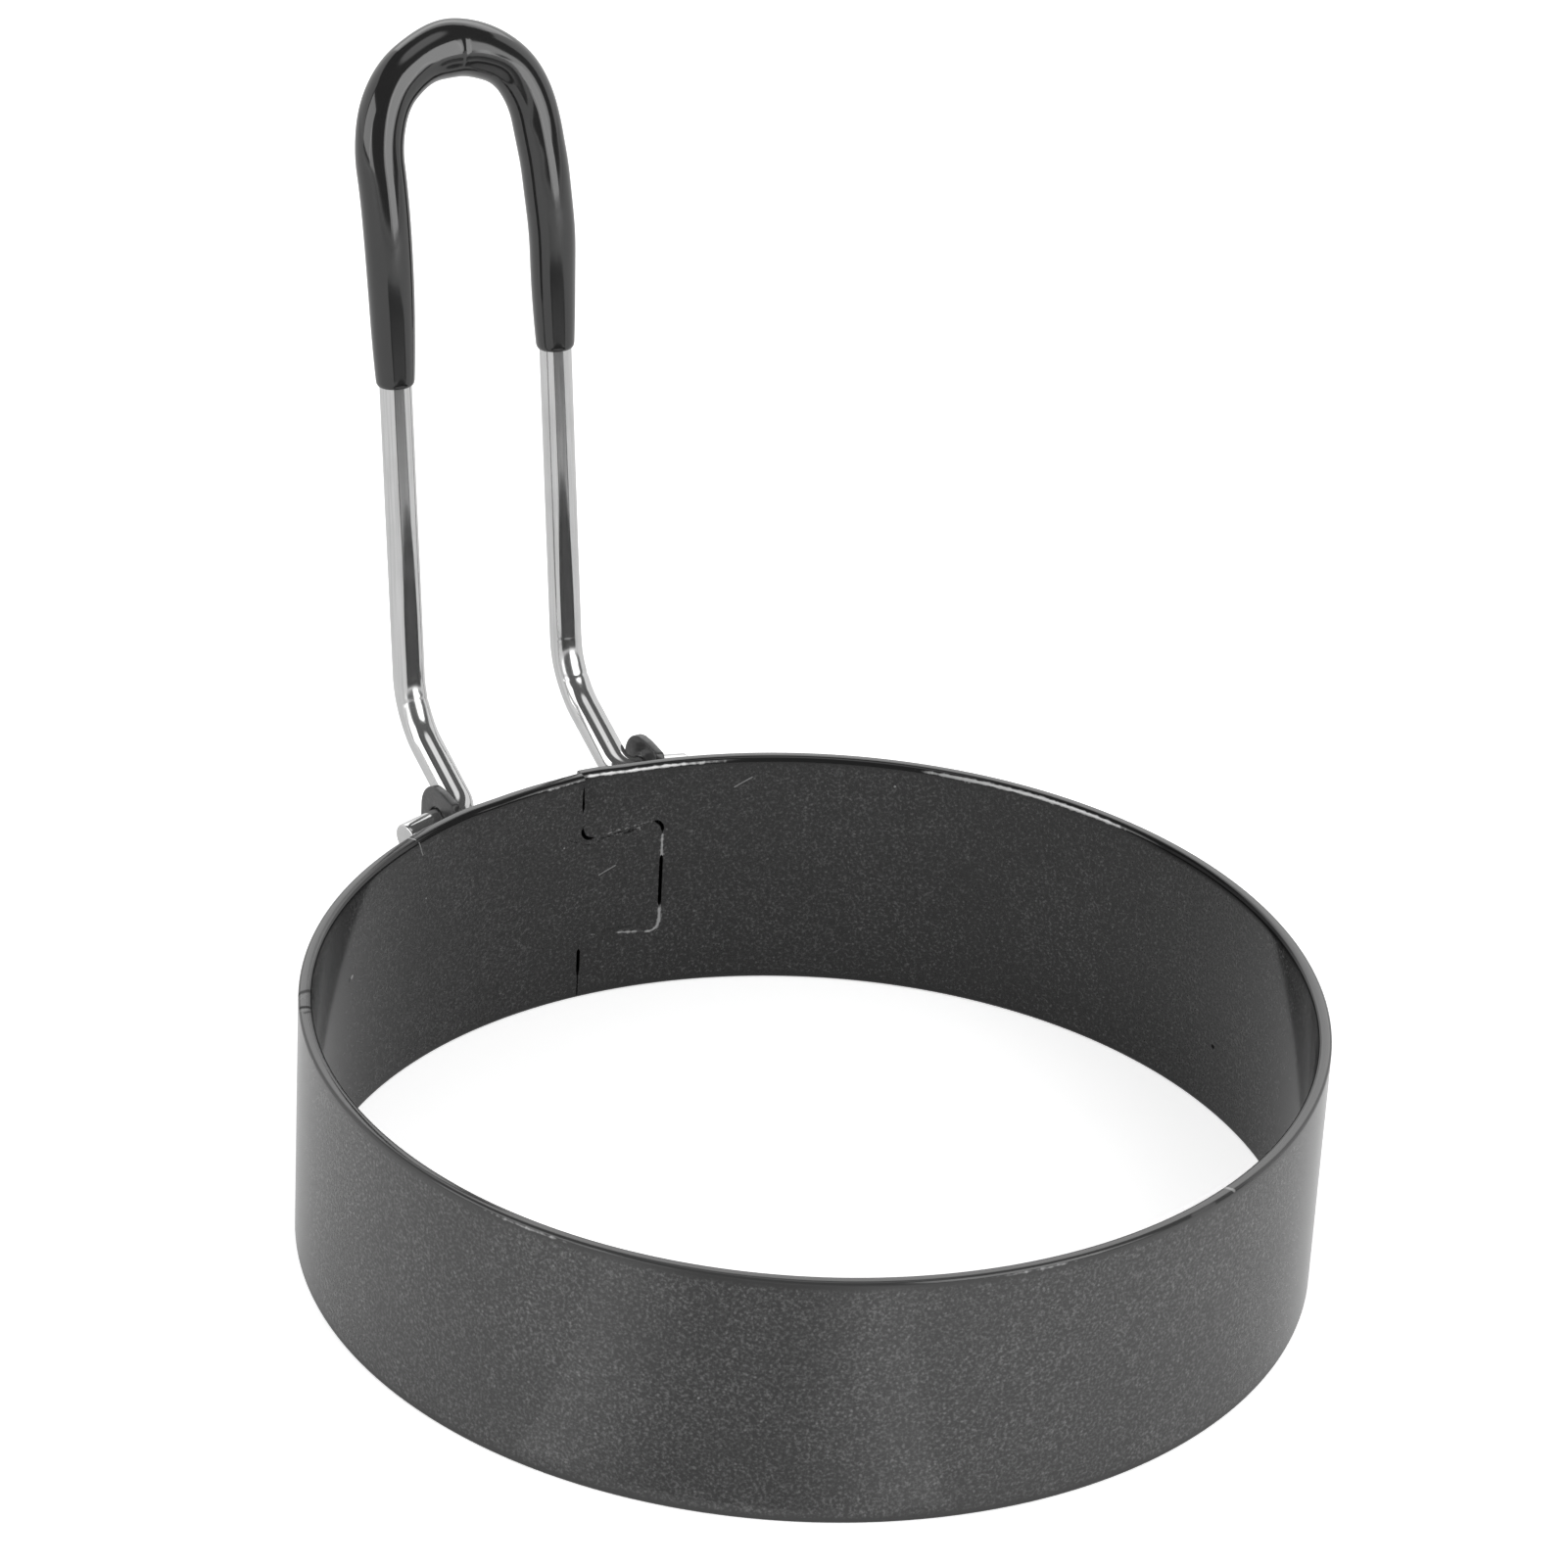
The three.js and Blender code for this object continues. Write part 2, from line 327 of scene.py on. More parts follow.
def swept(centres: Array, normals: Array, radii: Array, sides: int) -> Skin:
    """A round section carried along a path, with a radius for each station and direction.

    The point at station i and angle a is centre + radius * (cos a * normal + sin a * side), where
    the side is the path's direction crossed with the normal. A fan of triangles caps each end.

    Args:
        centres: Stations of the path, n by 3.
        normals: Unit normals of the path at the stations.
        radii: Radius at each station, n by 1, or at each station and angle, n by sides.
        sides: Points round the section.

    Returns:
        The swept skin, with distance and girth as its pattern place. Its last two points are the
        middles of the caps.
    """
    side = np.cross(np.gradient(centres, axis=0), normals)
    side /= np.linalg.norm(side, axis=1)[:, None]
    angle = round_angles(sides)[None, :, None]
    turned = np.cos(angle) * normals[:, None] + np.sin(angle) * side[:, None]
    count = len(centres)
    grid = centres[:, None] + np.broadcast_to(radii, (count, sides))[..., None] * turned
    quads = grid_quads(count, sides, closed=True)
    station, sector = np.divmod(np.arange(len(quads)), sides)
    distance = line_lengths(centres)
    girth = np.linspace(0, FULL_TURN * float(np.median(radii)), sides + 1)
    uv = np.stack([
        np.stack([distance[station + down], girth[sector + over]], axis=1)
        for down, over in ((0, 0), (1, 0), (1, 1), (0, 1))
    ], axis=1)
    ring, last, pole = np.arange(sides), (count - 1) * sides, count * sides
    caps = np.vstack([cap_faces(pole, ring), cap_faces(pole + 1, last + ring)[:, [0, 2, 1]]])
    return Skin(np.vstack([grid.reshape(-1, 3), centres[:1], centres[-1:]]), quads, caps, uv)


def add_attribute(piece: Piece, name: str, values: Array) -> None:
    """Stores a number for each vertex of a piece, for its material to read."""
    layer = piece.data.attributes.new(name, "FLOAT", "POINT")
    layer.data.foreach_set("value", values.astype(np.float32).ravel())


def dress(piece: Piece, material: Material, body: Body, node: Node) -> None:
    """Gives a piece its material and body, hides the frame's node that it stands for, and reports it.

    Args:
        piece: The finished piece.
        material: Its finish.
        body: The frame's body that it rides on.
        node: The frame's node that it stands for.
    """
    piece.data.materials.append(material)
    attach(piece, body.value)
    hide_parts(node.value)
    log.info("%s: %d faces, on %s", piece.name, len(piece.data.polygons), body.value)


# Shader nodes


def add_node(
    tree: Tree, kind: str, inputs: dict[Any, Any] | None = None, **settings: Any
) -> bpy.types.Node:
    """Adds a node, sets its options and fills its inputs with values or links.

    Args:
        tree: Tree that gets the node.
        kind: Blender's name of the node type.
        inputs: Values, or sockets to link, by the input's name or number.
        **settings: Options of the node.

    Returns:
        The node.
    """
    node = tree.nodes.new(kind)
    for name, value in settings.items():
        setattr(node, name, value)
    set_inputs(tree, node, inputs or {})
    return node


def set_inputs(tree: Tree, node: bpy.types.Node, inputs: dict[Any, Any]) -> None:
    """Fills a node's inputs.

    Args:
        tree: Tree that has the node.
        node: The node.
        inputs: Values, or sockets to link, by the input's name or number.
    """
    for name, value in inputs.items():
        if isinstance(value, Socket):
            tree.links.new(value, node.inputs[name])
        else:
            node.inputs[name].default_value = value


def calc(tree: Tree, operation: str, *values: Any, clamp: bool = False) -> Socket:
    """Adds a Math node on up to three values or sockets and gives its result."""
    inputs = dict(enumerate(values))
    return add_node(tree, "ShaderNodeMath", inputs, operation=operation, use_clamp=clamp).outputs[0]


def ramp(tree: Tree, value: Socket, low: float, high: float) -> Socket:
    """Maps low to 0 and high to 1 with a smooth step between."""
    inputs = {"Value": value, "From Min": low, "From Max": high}
    return add_node(tree, "ShaderNodeMapRange", inputs, interpolation_type="SMOOTHSTEP").outputs[0]


def mixed(tree: Tree, share: Any, first: Any, second: Any) -> Socket:
    """Mixes two colours by a share. The colour sockets share their names, so they go by number."""
    inputs = {0: share, 6: first, 7: second}
    return add_node(tree, "ShaderNodeMix", inputs, data_type="RGBA").outputs[2]


def tinted(tree: Tree, mask: Socket, share: float, colour: Socket, level: float) -> Socket:
    """Mixes a share of a grey into a colour where a mask is."""
    return mixed(tree, calc(tree, "MULTIPLY", mask, share), colour, grey(level))


def grey(level: float) -> tuple[float, float, float, float]:
    """An opaque neutral colour."""
    return (level, level, level, 1.0)


def object_place(tree: Tree) -> Socket:
    """The place on the object, in its own metres."""
    return add_node(tree, "ShaderNodeTexCoord").outputs["Object"]


def course_place(tree: Tree) -> Socket:
    """The place along and round a swept piece, from its own map."""
    return add_node(tree, "ShaderNodeUVMap", uv_map="course").outputs[0]


def attribute(tree: Tree, name: str) -> Socket:
    """A number that the piece itself carries."""
    return add_node(tree, "ShaderNodeAttribute", attribute_name=name).outputs["Fac"]


def noise_at(tree: Tree, place: Socket, scale: float, detail: float) -> Socket:
    """Noise at a place, by its waves to the unit of length and its finer layers."""
    inputs = {"Vector": place, "Scale": scale, "Detail": detail}
    return add_node(tree, "ShaderNodeTexNoise", inputs).outputs["Fac"]


def cells(tree: Tree, place: Socket, scale: Socket) -> tuple[Socket, Any]:
    """Voronoi cells: the distance from a cell's heart, and the cell's random draws."""
    found = add_node(tree, "ShaderNodeTexVoronoi", {"Vector": place, "Scale": scale}).outputs
    return found["Distance"], add_node(tree, "ShaderNodeSeparateColor", {0: found["Color"]}).outputs


def relief(tree: Tree, height: Socket, strength: float, depth: float) -> Socket:
    """A normal that follows a height, through a Bump node."""
    inputs = {"Strength": strength, "Distance": depth, "Height": height}
    return add_node(tree, "ShaderNodeBump", inputs).outputs[0]


class Effect(str, Enum):
    """Surface effects that several finishes share."""

    FLECKS = "metal_flecks"
    SPECKS = "sparse_specks"
    STREAKS = "drawn_streaks"
    MARK = "line_mark"


def new_effect(
    effect: Effect, inputs: dict[str, float | None], outputs: tuple[str, ...]
) -> tuple[Tree, Any, bpy.types.Node]:
    """Makes a shader node group with named inputs and outputs.

    Args:
        effect: The effect that it makes.
        inputs: For each input its usual value, or None for a vector.
        outputs: Names of its outputs, all plain values.

    Returns:
        The group, the sockets of its inputs and the node that takes its outputs.
    """
    group = bpy.data.node_groups.new(effect.value, "ShaderNodeTree")
    for name, value in inputs.items():
        kind = "NodeSocketVector" if value is None else "NodeSocketFloat"
        socket = group.interface.new_socket(name=name, in_out="INPUT", socket_type=kind)
        if value is not None:
            socket.default_value = value
    for name in outputs:
        group.interface.new_socket(name=name, in_out="OUTPUT", socket_type="NodeSocketFloat")
    source = add_node(group, "NodeGroupInput").outputs
    return group, source, add_node(group, "NodeGroupOutput")


def make_flecks() -> None:
    """Fine metal grains: the crests of a noise, with brighter glints in a few small cells."""
    inputs = {"Place": None, "Size": 0.4 * MM, "Cover": 0.5}
    group, source, result = new_effect(Effect.FLECKS, inputs, ("Mask", "Height"))
    crest, crest_power = (0.34, 0.86), 1.6
    cover_reach, cover_start = 0.3, 0.15
    glint_scale, glint_draw, glint_edge, glint_level = 0.6, (0.55, 0.95), (0.34, 0.12), 0.6
    scale = calc(group, "DIVIDE", 1.0, source["Size"])
    waves = {"Vector": source["Place"], "Scale": scale, "Detail": 3.0, "Roughness": 0.6}
    height = add_node(group, "ShaderNodeTexNoise", waves).outputs["Fac"]
    lowered = calc(group, "SUBTRACT", height, cover_start)
    spread = calc(group, "MULTIPLY_ADD", source["Cover"], cover_reach, lowered)
    grains = calc(group, "POWER", ramp(group, spread, *crest), crest_power)
    cell_scale = calc(group, "MULTIPLY", scale, glint_scale)
    distance, draw = cells(group, source["Place"], cell_scale)
    chosen = ramp(group, draw[0], *glint_draw)
    glints = calc(group, "MULTIPLY", chosen, ramp(group, distance, *glint_edge))
    mask = calc(group, "MULTIPLY_ADD", glints, glint_level, grains, clamp=True)
    set_inputs(group, result, {"Mask": mask, "Height": height})


def make_specks() -> None:
    """Lone dots far apart: the hearts of the few cells that draw a low number."""
    inputs = {"Place": None, "Spacing": 3 * MM, "Radius": 0.1, "Share": 0.2}
    group, source, result = new_effect(Effect.SPECKS, inputs, ("Mask",))
    distance, draw = cells(group, source["Place"], calc(group, "DIVIDE", 1.0, source["Spacing"]))
    chosen = calc(group, "GREATER_THAN", source["Share"], draw[0])
    size = calc(group, "MULTIPLY", source["Radius"], draw[1])
    dot = calc(group, "LESS_THAN", distance, size)
    set_inputs(group, result, {"Mask": calc(group, "MULTIPLY", chosen, dot)})


def make_streaks() -> None:
    """Noise drawn out along a path: fine across the girth and long down the length."""
    inputs = {"Course": None, "Width": 0.15 * MM, "Length": 6 * MM}
    group, source, result = new_effect(Effect.STREAKS, inputs, ("Value",))
    parts = add_node(group, "ShaderNodeSeparateXYZ", {0: source["Course"]}).outputs
    along = calc(group, "DIVIDE", parts[0], source["Length"])
    across = calc(group, "DIVIDE", parts[1], source["Width"])
    place = add_node(group, "ShaderNodeCombineXYZ", {0: along, 1: across}).outputs[0]
    set_inputs(group, result, {"Value": noise_at(group, place, 1.0, 3.0)})


def make_mark() -> None:
    """A short line: full near the stretch from start to end, and fading out at its width."""
    inputs = {"Place": None, "Start": None, "End": None, "Width": 0.1 * MM}
    group, source, result = new_effect(Effect.MARK, inputs, ("Mask",))
    gone_at, full_at = 1.0, 0.35

    def vector(operation: str, values: dict[Any, Any], output: str = "Vector") -> Socket:
        """Adds a Vector Math node and gives its result."""
        return add_node(group, "ShaderNodeVectorMath", values, operation=operation).outputs[output]

    run = vector("SUBTRACT", {0: source["End"], 1: source["Start"]})
    gone = vector("SUBTRACT", {0: source["Place"], 1: source["Start"]})
    covered = vector("DOT_PRODUCT", {0: gone, 1: run}, "Value")
    whole = vector("DOT_PRODUCT", {0: run, 1: run}, "Value")
    share = calc(group, "DIVIDE", covered, whole, clamp=True)
    foot = vector("SCALE", {0: run, "Scale": share})
    away = calc(group, "DIVIDE", vector("DISTANCE", {0: gone, 1: foot}, "Value"), source["Width"])
    set_inputs(group, result, {"Mask": ramp(group, away, gone_at, full_at)})


def use_effect(tree: Tree, effect: Effect, **inputs: Any) -> Any:
    """Places a shared effect in a material and gives its outputs."""
    group = bpy.data.node_groups[effect.value]
    return add_node(tree, "ShaderNodeGroup", inputs, node_tree=group).outputs


def specks(tree: Tree, place: Socket, dots: Triple) -> Socket:
    """Mask of lone dots, by their spacing, their largest radius and the share of cells with one."""
    values = dict(zip(("Spacing", "Radius", "Share"), dots))
    return use_effect(tree, Effect.SPECKS, Place=place, **values)["Mask"]


def streaks(tree: Tree, size: Pair) -> Socket:
    """Streaks along a swept piece, by their width and length."""
    course = course_place(tree)
    return use_effect(tree, Effect.STREAKS, Course=course, Width=size[0], Length=size[1])["Value"]


def new_material(name: str, plain: dict[str, Any]) -> tuple[Material, Tree, bpy.types.Node]:
    """Makes a material with a Principled shader and its output.

    Args:
        name: Name of the material.
        plain: Values of the shader's own sockets that are the same all over the surface.

    Returns:
        The material, its tree and its shader.
    """
    material = bpy.data.materials.new(name)
    material.use_nodes = True
    tree = material.node_tree
    tree.nodes.clear()
    shader = add_node(tree, "ShaderNodeBsdfPrincipled", plain)
    add_node(tree, "ShaderNodeOutputMaterial", {"Surface": shader.outputs[0]})
    return material, tree, shader


# Finishes


@dataclass(frozen=True)
class Mark:
    """A scratch or nick in a coating, as a short line.

    Attributes:
        start: One end of the line.
        end: Its other end.
        width: Half its width, where it has faded out.
        strength: How much of the coating is gone, or how dark the mark is.
        dark: Whether it is dark pitting or a dark cut instead of bare metal.
    """

    start: Triple
    end: Triple
    width: float
    strength: float
    dark: bool = False


@dataclass(frozen=True)
class FleckedCoating:
    """Charcoal non-stick coating: near-black with fine metal flecks, under a smooth clear skin.

    Attributes:
        name: Name of the material.
        base: Grey of the coating between the flecks.
        outside_painted_light: How much lighter the coating is painted on the outside of the ring:
            painted light, for the stronger light on the outer face than inside.
        fleck: Grey of a full fleck inside the ring.
        fleck_painted_lit: Grey of a full fleck on the outside of the ring, lighter as painted light.
        fleck_size: Wavelength of the flecks.
        cover: How far the flecks spread.
        cloud_scale: Waves to the metre of the slow noise that thins the flecks out in places.
        cloud_range: Values of that noise at which the flecks are fewest and most.
        cloud: Share of the flecks that is always left, and what the noise adds to it.
        fleck_metal: Metallic share of a full fleck.
        fleck_roughness: Roughness of the flecks.
        fleck_relief: Strength and depth of their relief.
        skin_roughness: Roughness of the clear skin.
        skin_index: Refractive index of the clear skin.
        dots: Spacing, largest radius and share of cells of the lone pale dots.
        dot_grey: Grey of those dots.
        dot_tint: How much of that grey shows in a dot.
        dot_bare: How much of the coating is gone in a dot.
        bare: Grey of the metal where the coating is worn off.
        bare_metal: Metallic share of that metal.
        chip_scale: Waves to the metre of the noise that breaks a worn edge up.
        chip_range: Wear with that noise at which the coating begins to go, and at which it is gone.
        pit_and_shade: Grey of dark pits, cuts and the dull edge, and of the painted shade on the walls
            of the open seam.
    """

    name: str
    base: float = 0.0112
    outside_painted_light: float = 0.0328
    fleck: float = 0.1
    fleck_painted_lit: float = 0.19
    fleck_size: float = 0.29 * MM
    cover: float = 0.55
    cloud_scale: float = 130.0
    cloud_range: Pair = (0.25, 0.75)
    cloud: Pair = (0.75, 0.5)
    fleck_metal: float = 0.5
    fleck_roughness: float = 0.46
    fleck_relief: Pair = (0.1, 0.012 * MM)
    skin_roughness: float = 0.1
    skin_index: float = 1.5
    dots: Triple = (4 * MM, 0.045, 0.3)
    dot_grey: float = 0.25
    dot_tint: float = 0.5
    dot_bare: float = 0.3
    bare: float = 0.5
    bare_metal: float = 0.8
    chip_scale: float = 1700.0
    chip_range: Pair = (0.3, 0.75)
    pit_and_shade: float = 0.003

    def material(self, worn: bool, marks: list[Mark]) -> Material:
        """Builds the material.

        Args:
            worn: Whether the piece carries a "wear" number for its rubbed edges, a "plain" number for
                its edges without flecks, an "outside" number for its outer face, where painted light
                makes the coating lighter, and a "gap" number for the painted shade on the walls of its
                open seam and for its dull edge.
            marks: Scratches and nicks in the coating.

        Returns:
            The material.
        """
        material, tree, shader = new_material(self.name, {
            "Roughness": self.fleck_roughness,
            "Specular IOR Level": 0.0,
            "Coat Roughness": self.skin_roughness,
            "Coat IOR": self.skin_index,
        })
        place = object_place(tree)
        flecks = use_effect(tree, Effect.FLECKS, Place=place, Size=self.fleck_size, Cover=self.cover)
        broad = ramp(tree, noise_at(tree, place, self.cloud_scale, 3.0), *self.cloud_range)
        cloud = calc(tree, "MULTIPLY_ADD", broad, self.cloud[1], self.cloud[0])
        amount = calc(tree, "MULTIPLY", flecks["Mask"], cloud, clamp=True)
        dots = specks(tree, place, self.dots)
        bare = calc(tree, "MULTIPLY", dots, self.dot_bare)
        ground: Any = grey(self.base)
        spark: Any = grey(self.fleck)
        # Dark marks, the dull edge, and painted shade on the walls of the open seam.
        dark_marks_and_painted_shade: Any = 0.0
        if worn:
            flecked = calc(tree, "SUBTRACT", 1.0, attribute(tree, "plain"))
            amount = calc(tree, "MULTIPLY", amount, flecked)
            # Painted light: the outer face gets a lighter ground and lighter flecks for the stronger
            # light on it.
            outside = attribute(tree, "outside")
            ground = mixed(tree, outside, ground, grey(self.base + self.outside_painted_light))
            spark = mixed(tree, outside, spark, grey(self.fleck_painted_lit))
            # Painted shade on the open seam's walls, and inside the dull edge.
            dark_marks_and_painted_shade = attribute(tree, "gap")
            chips = calc(tree, "SUBTRACT", noise_at(tree, place, self.chip_scale, 3.0), 0.5)
            rubbed = calc(tree, "ADD", attribute(tree, "wear"), chips)
            bare = calc(tree, "MAXIMUM", bare, ramp(tree, rubbed, *self.chip_range))
        for mark in marks:
            ends = {"Start": mark.start, "End": mark.end, "Width": mark.width}
            mask = use_effect(tree, Effect.MARK, Place=place, **ends)["Mask"]
            share = calc(tree, "MULTIPLY", mask, mark.strength)
            if mark.dark:
                dark_marks_and_painted_shade = calc(tree, "MAXIMUM", dark_marks_and_painted_shade, share)
            else:
                bare = calc(tree, "MAXIMUM", bare, share)
        colour = mixed(tree, amount, ground, spark)
        colour = tinted(tree, dots, self.dot_tint, colour, self.dot_grey)
        colour = mixed(tree, bare, colour, grey(self.bare))
        # Near-black where marks are dark and where shade is painted in the open seam.
        colour = mixed(tree, dark_marks_and_painted_shade, colour, grey(self.pit_and_shade))
        metal = calc(tree, "MULTIPLY", amount, self.fleck_metal)
        metal = calc(tree, "MULTIPLY_ADD", bare, self.bare_metal, metal, clamp=True)
        metal = calc(tree, "SUBTRACT", metal, dark_marks_and_painted_shade, clamp=True)
        skin = calc(tree, "SUBTRACT", 1.0, bare)
        skin = calc(tree, "SUBTRACT", skin, dark_marks_and_painted_shade, clamp=True)
        normal = relief(tree, flecks["Height"], *self.fleck_relief)
        looks = {"Base Color": colour, "Metallic": metal, "Coat Weight": skin, "Normal": normal}
        set_inputs(tree, shader, looks)
        return material


@dataclass(frozen=True)
class PlatedWire:
    """Bright plated wire with faint lines from drawing and a little haze.

    Attributes:
        base: Grey of the plating.
        roughness: Roughness of the plating.
        metal: Metallic share, where the rest is its scattered haze.
        scuff: Roughness that the bending tool adds in the cranks.
        haze_scale: Waves to the metre of the haze.
        haze_range: Noise at which the haze starts and is full.
        haze_grey: Share of the base grey that full haze leaves.
        haze_roughness: Roughness that full haze adds.
        line_size: Width and length of the drawn lines.
        line_range: Noise at which a line starts and is full.
        line_grey: Share of the base grey that a full line has.
        line_relief: Strength and depth of the lines' relief.
        pits: Spacing, largest radius and share of cells of the small pits.
        pit_tint: How much of a pit's grey shows.
        pit_grey: Grey of the pits.
    """

    base: float = 0.64
    roughness: float = 0.08
    metal: float = 0.91
    scuff: float = 0.13
    haze_scale: float = 260.0
    haze_range: Pair = (0.45, 0.75)
    haze_grey: float = 0.92
    haze_roughness: float = 0.06
    line_size: Pair = (0.22 * MM, 9 * MM)
    line_range: Pair = (0.35, 0.75)
    line_grey: float = 0.82
    line_relief: Pair = (0.3, 0.006 * MM)
    pits: Triple = (1.6 * MM, 0.06, 0.3)
    pit_tint: float = 0.6
    pit_grey: float = 0.25

    def material(self) -> Material:
        """Builds the material, which reads a "pressed" number for the cranks.

        Returns:
            The material.
        """
        material, tree, shader = new_material("bright_plating", {"Metallic": self.metal})
        place = object_place(tree)
        lines = streaks(tree, self.line_size)
        haze = noise_at(tree, place, self.haze_scale, 4.0)
        dull = ramp(tree, haze, *self.haze_range)
        colour = mixed(tree, dull, grey(self.base), grey(self.base * self.haze_grey))
        line_grey = grey(self.base * self.line_grey)
        colour = mixed(tree, ramp(tree, lines, *self.line_range), colour, line_grey)
        colour = tinted(tree, specks(tree, place, self.pits), self.pit_tint, colour, self.pit_grey)
        rough = calc(tree, "MULTIPLY_ADD", dull, self.haze_roughness, self.roughness)
        scuff = calc(tree, "MULTIPLY_ADD", haze, self.scuff, self.scuff / 2)
        scuff = calc(tree, "MULTIPLY", attribute(tree, "pressed"), scuff)
        set_inputs(tree, shader, {
            "Base Color": colour,
            "Roughness": calc(tree, "ADD", rough, scuff),
            "Normal": relief(tree, lines, *self.line_relief),
        })
        return material


@dataclass(frozen=True)
class DippedVinyl:
    """Glossy black vinyl, slightly uneven from dipping, with a few dust specks.

    Attributes:
        base: Grey of the vinyl.
        roughness: Roughness of its skin.
        index: Refractive index of its skin.
        cloud_scale: Waves to the metre of its slow unevenness.
        cloud_greys: Shares of the base grey between which it varies.
        cloud_roughness: By how much its roughness varies.
        run_size: Width and length of the runs from dipping.
        run_relief: Strength and depth of the runs' relief.
        dust: Spacing, largest radius and share of cells of the dust specks.
        dust_tint: How much of the dust's grey shows.
        dust_grey: Grey of the dust.
    """

    base: float = 0.0155
    roughness: float = 0.1
    index: float = 1.66
    cloud_scale: float = 160.0
    cloud_greys: Pair = (0.8, 1.3)
    cloud_roughness: float = 0.1
    run_size: Pair = (1.6 * MM, 9 * MM)
    run_relief: Pair = (0.35, 0.03 * MM)
    dust: Triple = (2.6 * MM, 0.05, 0.35)
    dust_tint: float = 0.35
    dust_grey: float = 0.3

    def material(self) -> Material:
        """Builds the material.

        Returns:
            The material.
        """
        material, tree, shader = new_material("dipped_vinyl", {"IOR": self.index})
        place = object_place(tree)
        cloud = noise_at(tree, place, self.cloud_scale, 4.0)
        colour = mixed(tree, cloud, *(grey(self.base * share) for share in self.cloud_greys))
        colour = tinted(tree, specks(tree, place, self.dust), self.dust_tint, colour, self.dust_grey)
        least = self.roughness - self.cloud_roughness / 2
        set_inputs(tree, shader, {
            "Base Color": colour,
            "Roughness": calc(tree, "MULTIPLY_ADD", cloud, self.cloud_roughness, least),
            "Normal": relief(tree, streaks(tree, self.run_size), *self.run_relief),
        })
        return material


# Sub-assemblies


